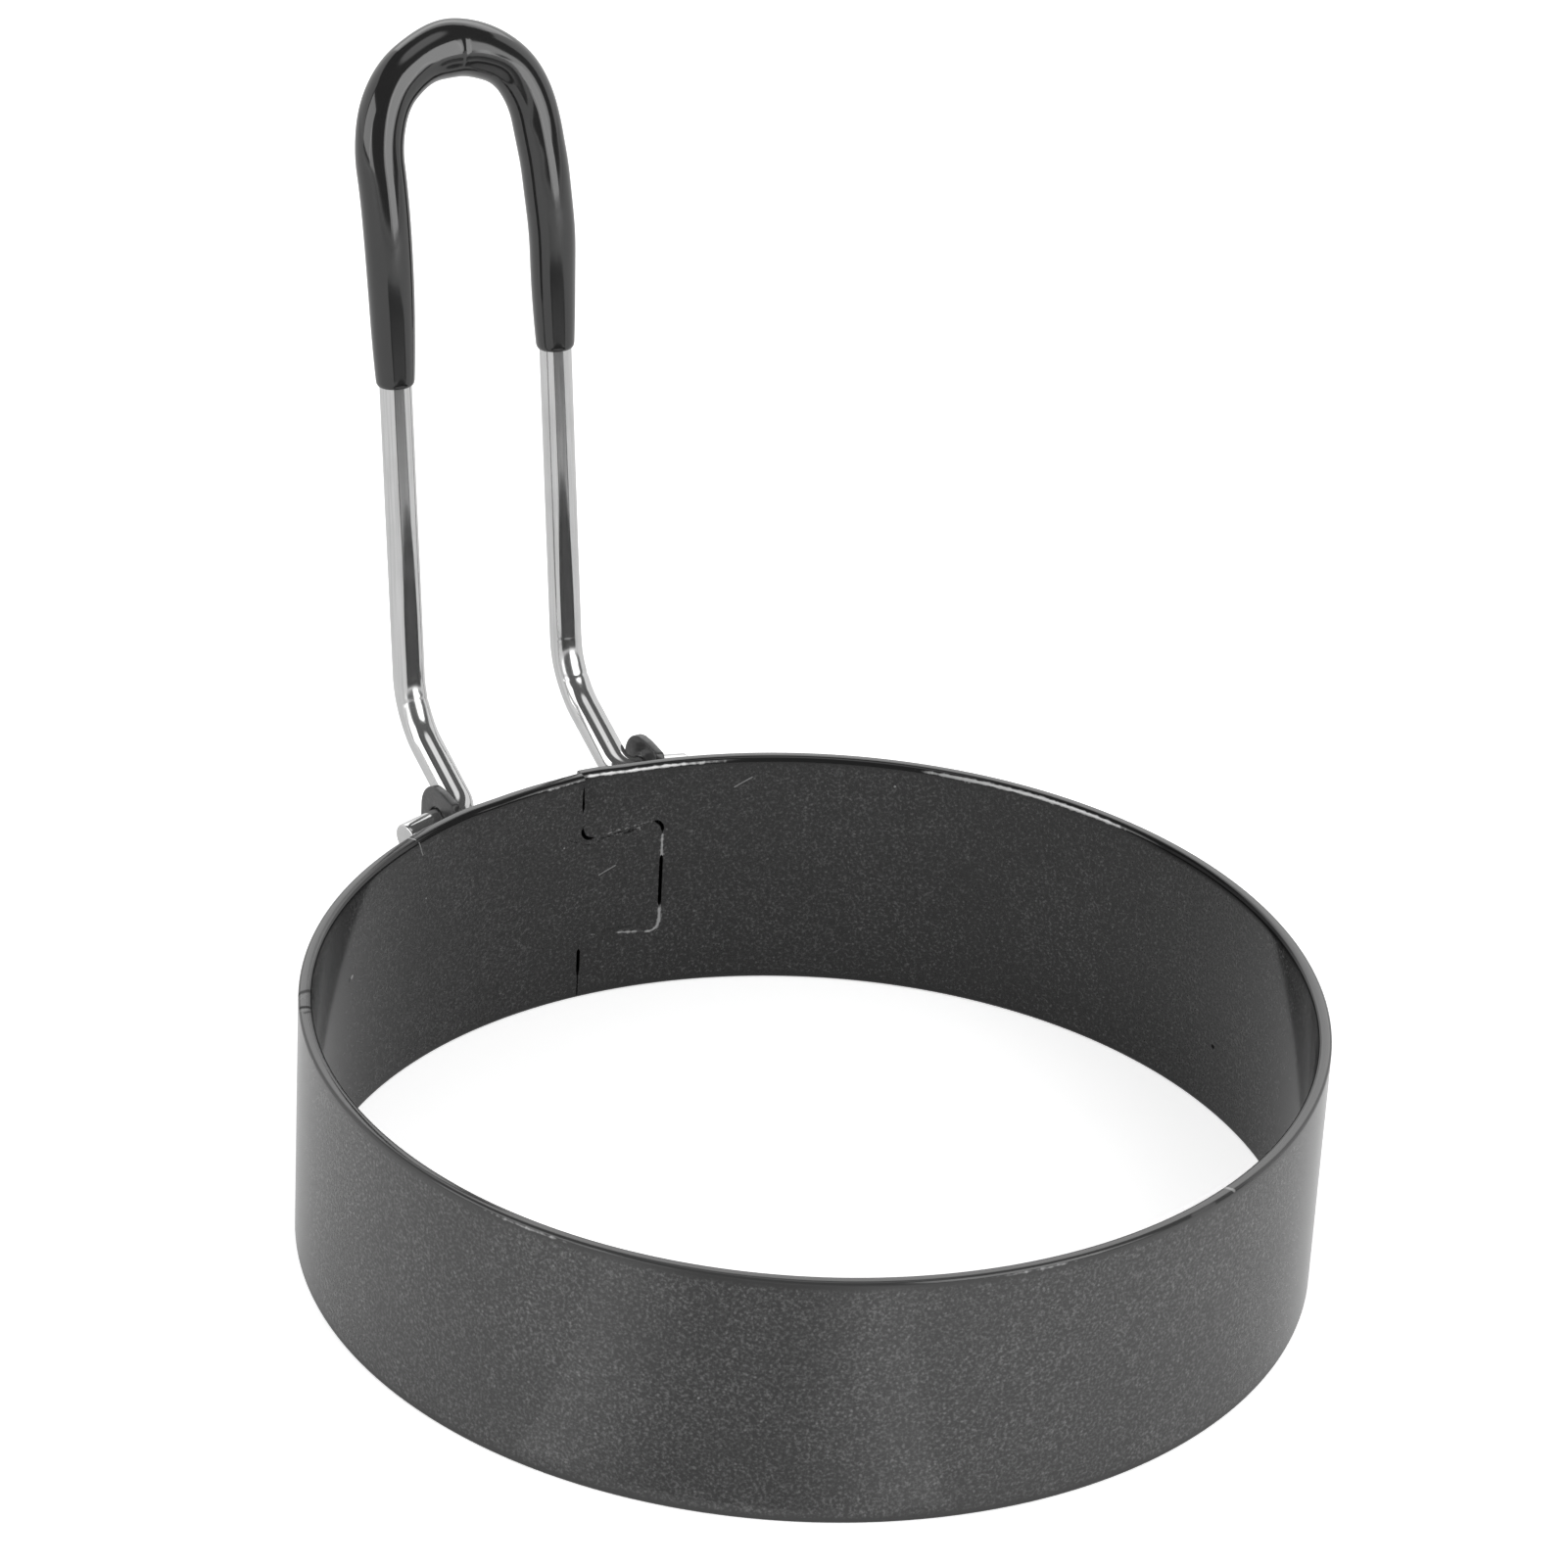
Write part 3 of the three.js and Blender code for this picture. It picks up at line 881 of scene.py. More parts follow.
@dataclass
class RolledBand:
    """The strip of coated sheet, rolled to a ring and locked by a dovetail seam.

    Angles are in degrees from the handle towards +X. Shares of the seam run from the rim down.

    Attributes:
        thickness: Thickness of the coated sheet.
        open_gap: Width of the seam where it stands open.
        tight_gap: Width of the seam where the coating bridges it.
        outer_gap: Share of those widths on the outer face, where the coating has run in.
        open_seam: Where the seam stands open, by the share of its length.
        tongue_root: Distance of the tongue's root from the handle's middle plane, round the band.
        tongue_length: Length of the tongue.
        tip_margin: Band left above and below the tongue's tip.
        flare: How much the tip is wider than the root, on each edge.
        corner: Radius of the seam's corners.
        rim_round: Radius of the band's upper and lower edges outside.
        inner_round: Radius of the band's upper and lower edges inside.
        rim_steps: Rows of the grid on such an edge.
        seam_round: Radius of the edges along the seam where it stands open.
        tight_round: Share of that radius where the seam is tight.
        seam_steps: Columns of the grid on such an edge.
        seam_zone: Width of the strip along the seam that follows its line.
        fan: Distance from the seam at which the rows of the grid are upright again.
        fan_columns: Columns of the grid between that strip and there.
        past_spread: Distances from mid-height at which the rows of the tongue's root and tip
            corners are upright, past the tip.
        before_spread: The same distances before the root.
        row_step: Distance between rows along the seam.
        columns: Columns of the grid in the plain part of the band.
        socket_proud: How far the socket's end stands out at the rim.
        proud_end: Angle at which that has died away.
        tongue_sunk: How far the tongue's end stands in at the rim.
        sunk_start: Angles at which that begins and is full.
        sunk_relief: Share of it that is lost at the seam.
        step_depth: How far down from the rim the step between the ends fades out.
        plain_edge: Shares of inner_round at which the flecks start and are full, from a rim.
        rim_painted_light: How much of the outer face's painted light the inside of a rim gets.
        gap_shade_edge: Shares of seam_round over which the painted shade on the open seam's walls fades.
        seam_wear: Where the seam is worn, by the share of its length.
        seam_wear_edge: Distances from the seam over which that wear fades.
        rim_wear: Where the rim is worn inside, by the angle.
        front_wear: Where the rim is worn outside, by the angle.
        rim_wear_place: Middle and half-width of the rim's wear, as shares of inner_round.
        inner_wear: Share of the seam's wear, and least wear of the rim, inside.
        outer_wear: The same outside.
        dull_arc: The dull dark edge inside under the rim, by the angle.
        dull_depth: Distances below the rim at which that edge starts, is full, fades and ends.
    """

    thickness: float = 1.2 * MM
    open_gap: float = 0.28 * MM
    tight_gap: float = 0.004 * MM
    outer_gap: float = 0.18
    open_seam: tuple[Stretch, ...] = (
        (1.0, 0.018, 0.034, 0.08, 0.1),
        (1.0, 0.132, 0.145, 0.175, 0.19),
        (1.0, 0.34, 0.35, 0.375, 0.387),
        (1.0, 0.445, 0.455, 0.575, 0.585),
        (1.0, 0.862, 0.874, 0.92, 0.94),
        (0.35, 0.92, 0.94, 0.985, 0.995),
    )
    tongue_root: float = 2.3 * MM
    tongue_length: float = 8.3 * MM
    tip_margin: float = 5.85 * MM
    flare: float = 1.0 * MM
    corner: float = 1.0 * MM
    rim_round: float = 0.32 * MM
    inner_round: float = 0.5 * MM
    rim_steps: int = 8
    seam_round: float = 0.06 * MM
    tight_round: float = 0.15
    seam_steps: int = 4
    seam_zone: float = 0.6 * MM
    fan: float = 4.0 * MM
    fan_columns: int = 9
    past_spread: Pair = (9.5 * MM, 7.8 * MM)
    before_spread: Pair = (6.5 * MM, 3.0 * MM)
    row_step: float = 0.36 * MM
    columns: int = 240
    socket_proud: float = 0.38 * MM
    proud_end: float = 9.2
    tongue_sunk: float = 0.24 * MM
    sunk_start: Pair = (-15.0, -9.0)
    sunk_relief: float = 0.5
    step_depth: float = 5.5 * MM
    plain_edge: Pair = (0.9, 1.8)
    rim_painted_light: float = 0.1
    gap_shade_edge: Pair = (0.2, 1.2)
    seam_wear: tuple[Stretch, ...] = (
        (0.42, 0.205, 0.22, 0.32, 0.34),
        (0.85, 0.383, 0.393, 0.443, 0.453),
        (0.8, 0.575, 0.585, 0.665, 0.69),
        (0.6, 0.68, 0.69, 0.73, 0.77),
        (0.36, 0.78, 0.8, 0.83, 0.85),
    )
    seam_wear_edge: Pair = (0.06 * MM, 0.2 * MM)
    rim_wear: tuple[Stretch, ...] = (
        (0.72, 3.0, 3.6, 14.0, 24.0),
        (0.4, -6.0, -2.0, 2.4, 2.9),
        (0.85, 42.0, 50.0, 69.0, 75.0),
    )
    front_wear: tuple[Bell, ...] = ((0.5, -116.0, 6.0), (0.45, -172.0, 6.0))
    rim_wear_place: Pair = (0.62, 0.34)
    inner_wear: Pair = (0.9, 0.1)
    outer_wear: Pair = (0.3, 0.08)
    dull_arc: Stretch = (0.62, 72.0, 80.0, 100.0, 114.0)
    dull_depth: tuple[float, ...] = (0.04 * MM, 0.1 * MM, 0.5 * MM, 1.0 * MM)

    def __post_init__(self) -> None:
        """Takes the band's overall size and place from the frame."""
        low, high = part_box(Node.BAND.value)
        self.radius: float = (high.x - low.x) / 2
        self.height: float = high.z
        self.axis_y: float = low.y + self.radius

    def on_ring(self, around: float, height: float, radius: float) -> Triple:
        """A place by its angle, its height and its radius."""
        angle = math.radians(around)
        return (radius * math.sin(angle), self.axis_y + radius * math.cos(angle), height)

    def seam(self) -> Array:
        """The seam's line in the flat blank, from the rim down.

        Returns:
            Its points: distance round the band, and height.
        """
        root, tip = self.tongue_root, self.tongue_root + self.tongue_length
        high, low = self.height - self.tip_margin, self.tip_margin
        corners = np.array([
            [root, self.height],
            [root, high - self.flare],
            [tip, high],
            [tip, low],
            [root, low + self.flare],
            [root, 0.0],
        ])
        return rounded_line(corners, self.corner)

    def seam_rows(self, total: float) -> Array:
        """Distances along the seam at which rows start: close at both rims, even between.

        Args:
            total: Length of the seam.

        Returns:
            The distances.
        """
        near = edge_samples(self.inner_round, self.rim_steps)
        first = 2 * self.inner_round
        inner = np.linspace(first, total - first, round(total / self.row_step))
        return np.concatenate([near, inner, total - near[::-1]])

    def upright_heights(self, rows: Array, total: float, spread: Pair) -> Array:
        """Heights of the rows where they leave the seam's fan.

        The seam is longer than the band is high, so its stretches share the height out: each row
        keeps its height near the rims, and the tongue's corners are drawn to given spreads from the
        band's middle, with straight shares between them.

        Args:
            rows: Distances of the rows along the seam.
            total: Length of the seam.
            spread: Distances from mid-height for the tongue's root and tip corners.

        Returns:
            The height of each row.
        """
        middle = self.height / 2
        to_root = self.tip_margin + self.flare
        side = math.hypot(self.tongue_length, self.flare)
        stops = [0.0, MM, to_root, to_root + side]
        heights = [self.height, self.height - MM, middle + spread[0], middle + spread[1]]
        stops += [total - stop for stop in reversed(stops)]
        heights += [self.height - height for height in reversed(heights)]
        return np.interp(rows, stops, heights)

    def opened(self, share: Array) -> Array:
        """How far the seam stands open, 0 to 1, by the share of its length."""
        return np.clip(plateaus(self.open_seam, share), 0, 1)

    def rim_step(self, angle: Array, height: Array) -> Array:
        """How far the band stands out of its circle where the strip's two ends meet at the rim.

        Past the seam the socket's end stands out and then dies away. Before the seam the tongue's
        end stands in, after an easy start. Both fade out down from the rim.

        Args:
            angle: Angle of each grid point, -180 to 180.
            height: Height of each grid point.

        Returns:
            The change of radius.
        """
        seam = math.degrees(self.tongue_root / self.radius)
        past = (angle > seam) * (1 - smooth_step(seam + 1, self.proud_end, angle))
        before = (angle <= seam) * smooth_step(*self.sunk_start, angle)
        before = before * (1 - self.sunk_relief * smooth_step(-1, seam, angle))
        fade = smooth_step(self.height - self.step_depth, self.height, height)
        return fade * (self.socket_proud * past - self.tongue_sunk * before)

    def blank(self, gap_share: float) -> tuple[Array, Array, Array]:
        """The flat strip as one grid, from the socket's edge round the ring to the tongue's edge.

        A row starts at the seam's line, moved along its normal by half the gap and then by the
        distances of a rounded edge. It runs straight to an upright line a fan's width past the
        seam, round the band with an even change of height, and back to the seam in the same way.

        Args:
            gap_share: Share of the seam's gap on this face.

        Returns:
            The grid's places (round the band, height), the distance of each from the strip's ends,
            which is far in the plain part, and the share of the seam's length at each row.
        """
        line = self.seam()
        total = line_lengths(line)[-1]
        rows = self.seam_rows(total)
        share = rows / total
        middle, normal = point_on(line, rows), normal_on(line, rows)
        gap = self.tight_gap + (self.open_gap - self.tight_gap) * self.opened(share)
        strip = [2 * self.seam_round, self.seam_zone]
        inset = np.append(edge_samples(self.seam_round, self.seam_steps), strip)

        def edge(side: int) -> Array:
            """Columns along one strip end, from the gap inwards."""
            away = side * (gap_share * gap[:, None] / 2 + inset)
            return middle[:, None] + away[..., None] * normal[:, None]

        def upright(across: float, spread: Pair) -> Array:
            """A column at one distance round the band."""
            heights = self.upright_heights(rows, total, spread)
            return np.stack([np.full(len(rows), across), heights], axis=1)

        def run(start: Array, end: Array, steps: int) -> Array:
            """Straight rows between two columns, without the first column."""
            shares = np.linspace(0, 1, steps + 1)[1:]
            return start[:, None] + shares[None, :, None] * (end - start)[:, None]

        lap = np.array([FULL_TURN * self.radius, 0.0])
        socket, tongue = edge(1), edge(-1) + lap
        past = upright(self.tongue_root + self.tongue_length + self.fan, self.past_spread)
        before = upright(self.tongue_root - self.fan, self.before_spread) + lap
        grid = np.concatenate([
            socket,
            run(socket[:, -1], past, self.fan_columns),
            run(past, before, self.columns),
            run(before, tongue[:, -1], self.fan_columns)[:, :-1],
            tongue[:, ::-1],
        ], axis=1)
        from_end = np.full(grid.shape[:2], FAR)
        from_end[:, : len(inset)] = inset
        from_end[:, -len(inset) :] = inset[::-1]
        return grid, from_end, share

    def build(self, coating: FleckedCoating) -> Piece:
        """Rolls the blank up: an outer and an inner face a thickness apart, joined along all edges.

        Args:
            coating: The band's finish.

        Returns:
            The band.
        """
        flat, from_seam, share = self.blank(1.0)
        outer_flat = self.blank(self.outer_gap)[0]
        height = flat[..., 1]
        angle = (np.degrees(flat[..., 0] / self.radius) + 180) % 360 - 180
        from_rim = np.minimum(height, self.height - height)
        opened = self.opened(share)[:, None]
        seam_round = self.seam_round * (self.tight_round + (1 - self.tight_round) * opened)
        seam_drop = edge_drop(from_seam, seam_round)
        outer_drop = np.maximum(edge_drop(from_rim, self.rim_round), seam_drop)
        inner_drop = np.maximum(edge_drop(from_rim, self.inner_round), seam_drop)
        circle = self.radius + self.rim_step(angle, height)

        def rolled(strip: Array, radius: Array) -> Array:
            """Places on the ring at a radius for each grid point of the flat strip."""
            turn = strip[..., 0] / self.radius
            return grid_of(radius * np.sin(turn), self.axis_y + radius * np.cos(turn), strip[..., 1])

        outer = rolled(outer_flat, circle - outer_drop)
        inner = rolled(flat, circle - self.thickness + inner_drop)
        rows, columns = height.shape
        count = rows * columns
        number = np.arange(count).reshape(rows, columns)
        loop = np.concatenate([number[0, :-1], number[:-1, -1], number[-1, :0:-1], number[:0:-1, 0]])
        after = np.roll(loop, -1)
        quads = np.vstack([
            grid_quads(rows, columns),
            grid_quads(rows, columns, start=count)[:, ::-1],
            np.stack([loop, loop + count, after + count, after], axis=1)[:, ::-1],
        ])
        points = np.vstack([outer.reshape(-1, 3), inner.reshape(-1, 3)])
        band = Skin(points, quads).turned_outwards().to_object("band_shell")
        plain_start, plain_end = (part * self.inner_round for part in self.plain_edge)
        plain = 1 - smooth_step(plain_start, plain_end, from_rim)
        # Painted shade: the seam's walls go near-black where it stands open.
        gap_shade_start, gap_shade_end = (part * self.seam_round for part in self.gap_shade_edge)
        gap = (1 - smooth_step(gap_shade_start, gap_shade_end, from_seam)) * opened
        add_attribute(band, "wear", self.wear(angle, height, from_seam, share))
        add_attribute(band, "plain", np.stack([plain, plain]))
        # Painted light: 1 on the outer face and a little inside near the rims, where the coating is
        # painted lighter.
        add_attribute(band, "outside", np.stack([np.ones_like(plain), self.rim_painted_light * plain]))
        add_attribute(band, "gap", np.stack([gap, np.maximum(gap, self.dull(angle, height))]))
        dress(band, coating.material(True, self.marks()), Body.RING, Node.BAND)
        return band

    def wear(self, angle: Array, height: Array, from_seam: Array, share: Array) -> Array:
        """How far the coating is rubbed off, for the outer face and then the inner face.

        The seam's wear fades with the distance from it, and the upper rim's wear is a bell curve
        of the distance from the rim. The stronger of the two counts.

        Args:
            angle: Angle of each grid point, -180 to 180.
            height: Height of each grid point.
            from_seam: Distance from the strip's ends.
            share: Share of the seam's length at each row.

        Returns:
            Wear of both faces, outer first.
        """
        worn = plateaus(self.seam_wear, share)[:, None]
        seam_edge = (1 - smooth_step(*self.seam_wear_edge, from_seam)) * worn
        place, width = (part * self.inner_round for part in self.rim_wear_place)
        rim_edge = (height > self.height / 2) * bump(place, width, self.height - height)
        faces = (
            (self.outer_wear, bells(self.front_wear, angle)),
            (self.inner_wear, plateaus(self.rim_wear, angle)),
        )
        return np.stack([
            np.maximum(seam_share * seam_edge, rim_edge * (least + rim))
            for (seam_share, least), rim in faces
        ])

    def dull(self, angle: Array, height: Array) -> Array:
        """How dark and dull the coating is inside, under the rim on the right of the handle."""
        level, *arc = self.dull_arc
        return level * plateau(*arc, angle) * plateau(*self.dull_depth, self.height - height)

    def marks(self) -> list[Mark]:
        """Scratches and nicks that the band has picked up, in degrees and millimetres.

        Returns:
            The marks on the inner wall and across the rim.
        """
        rim, wall = self.height / MM, self.thickness / MM

        def scratch(start: Pair, end: Pair, width: float, strength: float, dark: bool = False) -> Mark:
            """A line on the inner wall, between places by their angle and height."""
            inside = self.radius - self.thickness
            ends = (self.on_ring(around, height * MM, inside) for around, height in (start, end))
            return Mark(*ends, width * MM, strength, dark)

        def nick(start: Pair, end: Pair, width: float, strength: float, dark: bool = False) -> Mark:
            """A line across the rim, between places by their angle and distance from the outer face."""
            radii = ((around, self.radius - inset * MM) for around, inset in (start, end))
            ends = (self.on_ring(around, self.height, radius) for around, radius in radii)
            return Mark(*ends, width * MM, strength, dark)

        return [
            scratch((5.35, 12.97), (7.53, 13.69), 0.1, 0.4),
            scratch((22.3, 20.74), (24.4, 21.73), 0.1, 0.4),
            scratch((-23.1, rim), (-22.2, 21.94), 0.09, 0.6),
            scratch((-38.2, 15.15), (-38.0, 15.2), 0.24, 1.0),
            scratch((-38.9, 15.1), (-38.8, 15.2), 0.2, 0.5, dark=True),
            scratch((90.3, 6.91), (90.4, 6.9), 0.3, 0.9, dark=True),
            nick((-23.5, 0.0), (-23.1, wall), 0.11, 0.8),
            nick((-61.6, 0.0), (-60.7, wall), 0.34, 0.6, dark=True),
            nick((-63.0, 0.0), (-61.7, wall - 0.5), 0.17, 0.09),
            nick((-61.3, 0.0), (-62.6, wall - 0.6), 0.17, 0.07),
            nick((-64.6, 0.2), (-64.5, wall), 0.3, 0.75, dark=True),
            nick((-65.4, 0.0), (-65.0, wall - 0.5), 0.17, 0.12),
            nick((-65.8, 0.5), (-65.3, wall), 0.22, 0.5, dark=True),
            nick((161.0, 0.0), (161.3, 1.0), 0.25, 0.6),
            nick((164.5, 0.0), (168.0, 0.0), 0.3, 0.12),
        ]


@dataclass
class HingeBracket:
    """The U-shaped sheet that carries the handle: a plate on the band, and two eared ends.

    Attributes:
        sheet: Thickness of the sheet.
        weld_gap: Gap between the band and the plate.
        bend_inside: Inside radius of the two bends.
        bend_points: Points of the plan on each bend.
        plate_points: Points of the plan on the plate, with its two ends.
        ear_inside: Distance from the middle plane to an ear's inner face.
        plate_top_drop: How far the plate's upper edge lies below the rim.
        plate_slope: Distances along the sheet from an ear's root between which the upper edge
            would fall to the plate as a whole S-curve.
        top_lift: How far the ears' upper edges stand above the frame's.
        root_drop: How far those edges fall towards the ears' roots.
        root_slope: Length over which they fall.
        ear_corner: Radius of the ears' free corners.
        ear_points: Points along an ear's free outline, with its two ends.
        ear_rings: Shares of the way from the hole to the outline at which an ear has rings.
        hole: Radius of the holes that the wire's tips turn in.
        edge: Width of the broken edges.
        edge_segments: Faces across a broken edge.
        edge_angle: Least angle between faces at which an edge is broken.
        rows: Rows of the grid up the bracket.
    """

    sheet: float = 0.8 * MM
    weld_gap: float = 0.02 * MM
    bend_inside: float = 0.1 * MM
    bend_points: int = 9
    plate_points: int = 25
    ear_inside: float = 10.5 * MM
    plate_top_drop: float = 3.8 * MM
    plate_slope: Pair = (-0.6 * MM, 2.2 * MM)
    top_lift: float = 0.12 * MM
    root_drop: float = 0.28 * MM
    root_slope: float = 2.0 * MM
    ear_corner: float = 2.8 * MM
    ear_points: int = 44
    ear_rings: tuple[float, ...] = (0.0, 0.3, 0.55, 0.8, 1.0)
    hole: float = 1.64 * MM
    edge: float = 0.13 * MM
    edge_segments: int = 3
    edge_angle: float = math.radians(50)
    rows: int = 10

    def __post_init__(self) -> None:
        """Takes the bracket's ends and the hinge from the frame."""
        low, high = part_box(Node.BRACKET.value)
        self.bottom: float = low.z
        self.top: float = high.z + self.top_lift
        self.end_y: float = high.y
        self.pivot: Vector = Vector(frame["joints"][0]["pos_m"])

    def plan(self, band: RolledBand) -> tuple[Array, Array]:
        """The middle of the sheet seen from above, from one ear's root to the other's.

        Args:
            band: The band that the plate follows.

        Returns:
            Points of the plan, and the height of the sheet's upper edge at each.
        """
        middle_bend = self.bend_inside + self.sheet / 2
        bend_x = self.ear_inside - self.bend_inside
        plate_radius = band.radius + self.weld_gap + self.sheet / 2
        bend_y = math.sqrt((plate_radius + middle_bend) ** 2 - bend_x**2)
        lean = math.atan2(bend_y, bend_x)
        turn = np.linspace(0, lean - np.pi, self.bend_points)
        right = [bend_x, bend_y] + middle_bend * unit(turn)
        plate = plate_radius * unit(np.linspace(lean, np.pi - lean, self.plate_points)[1:-1])
        left = (right * [-1, 1])[::-1]
        plan = np.vstack([right, plate, left]) + [0, band.axis_y]
        distance = line_lengths(plan)
        fall = smooth_step(*self.plate_slope, np.minimum(distance, distance[-1] - distance))
        fall = fall - fall[0]
        root_top = self.top - self.root_drop
        top = root_top + fall / fall.max() * (band.height - self.plate_top_drop - root_top)
        return plan, top

    def ear(self, root: Array, heights: Array) -> Array:
        """One ear as rings between its hole and its outline.

        The outline runs up the root, along the upper edge, round the free end and back. Each of its
        points is joined to the hole's point in the same direction from the hole's middle.

        Args:
            root: Place of the ear's root seen from above.
            heights: Heights of the rows at the root.

        Returns:
            Places of the rings' points, rings by points by 3.
        """
        corners = np.array([
            [root[1], heights[-1]],
            [root[1] + self.root_slope, self.top],
            [self.end_y, self.top],
            [self.end_y, self.bottom],
            [root[1], self.bottom],
        ])
        free = rounded_line(corners, self.ear_corner)
        stops = np.linspace(0, line_lengths(free)[-1], self.ear_points)[1:-1]
        root_line = np.stack([np.full(len(heights), root[1]), heights], axis=1)
        outline = np.vstack([root_line, point_on(free, stops)])
        middle = np.array([self.pivot.y, self.pivot.z])
        outward = outline - middle
        hole = middle + self.hole * outward / np.linalg.norm(outward, axis=1)[:, None]
        rings = hole + np.array(self.ear_rings)[:, None, None] * (outline - hole)
        return grid_of(root[0], rings[..., 0], rings[..., 1])

    def build(self, band: RolledBand, coating: FleckedCoating) -> Piece:
        """Makes the sheet's middle face from the plate's grid and the ears' rings, then thickens it.

        Args:
            band: The band that carries the bracket.
            coating: The bracket's finish.

        Returns:
            The bracket.
        """
        plan, top = self.plan(band)
        share = np.linspace(0, 1, self.rows + 1)[:, None]
        heights = self.bottom + share * (top - self.bottom)
        plate = grid_of(plan[:, 0], plan[:, 1], heights)
        right, left = self.ear(plan[0], heights[:, 0]), self.ear(plan[-1], heights[:, -1])
        grids = [plate, right[:, ::-1], left]
        starts = np.cumsum([0] + [grid.shape[0] * grid.shape[1] for grid in grids])
        quads = np.vstack([
            grid_quads(*grid.shape[:2], start=start, closed=grid is not plate)
            for grid, start in zip(grids, starts)
        ])
        skin = welded(np.vstack([grid.reshape(-1, 3) for grid in grids]), quads)
        bracket = skin.to_object("bracket_sheet")
        solidify = bracket.modifiers.new("sheet", "SOLIDIFY")
        solidify.thickness, solidify.offset, solidify.use_even_offset = self.sheet, 0.0, True
        bevel = bracket.modifiers.new("broken_edges", "BEVEL")
        bevel.width, bevel.segments, bevel.use_clamp_overlap = self.edge, self.edge_segments, False
        bevel.limit_method, bevel.angle_limit = "ANGLE", self.edge_angle
        bracket.modifiers.new("even_shading", "WEIGHTED_NORMAL").keep_sharp = True
        dress(bracket, coating.material(False, []), Body.RING, Node.BRACKET)
        return bracket


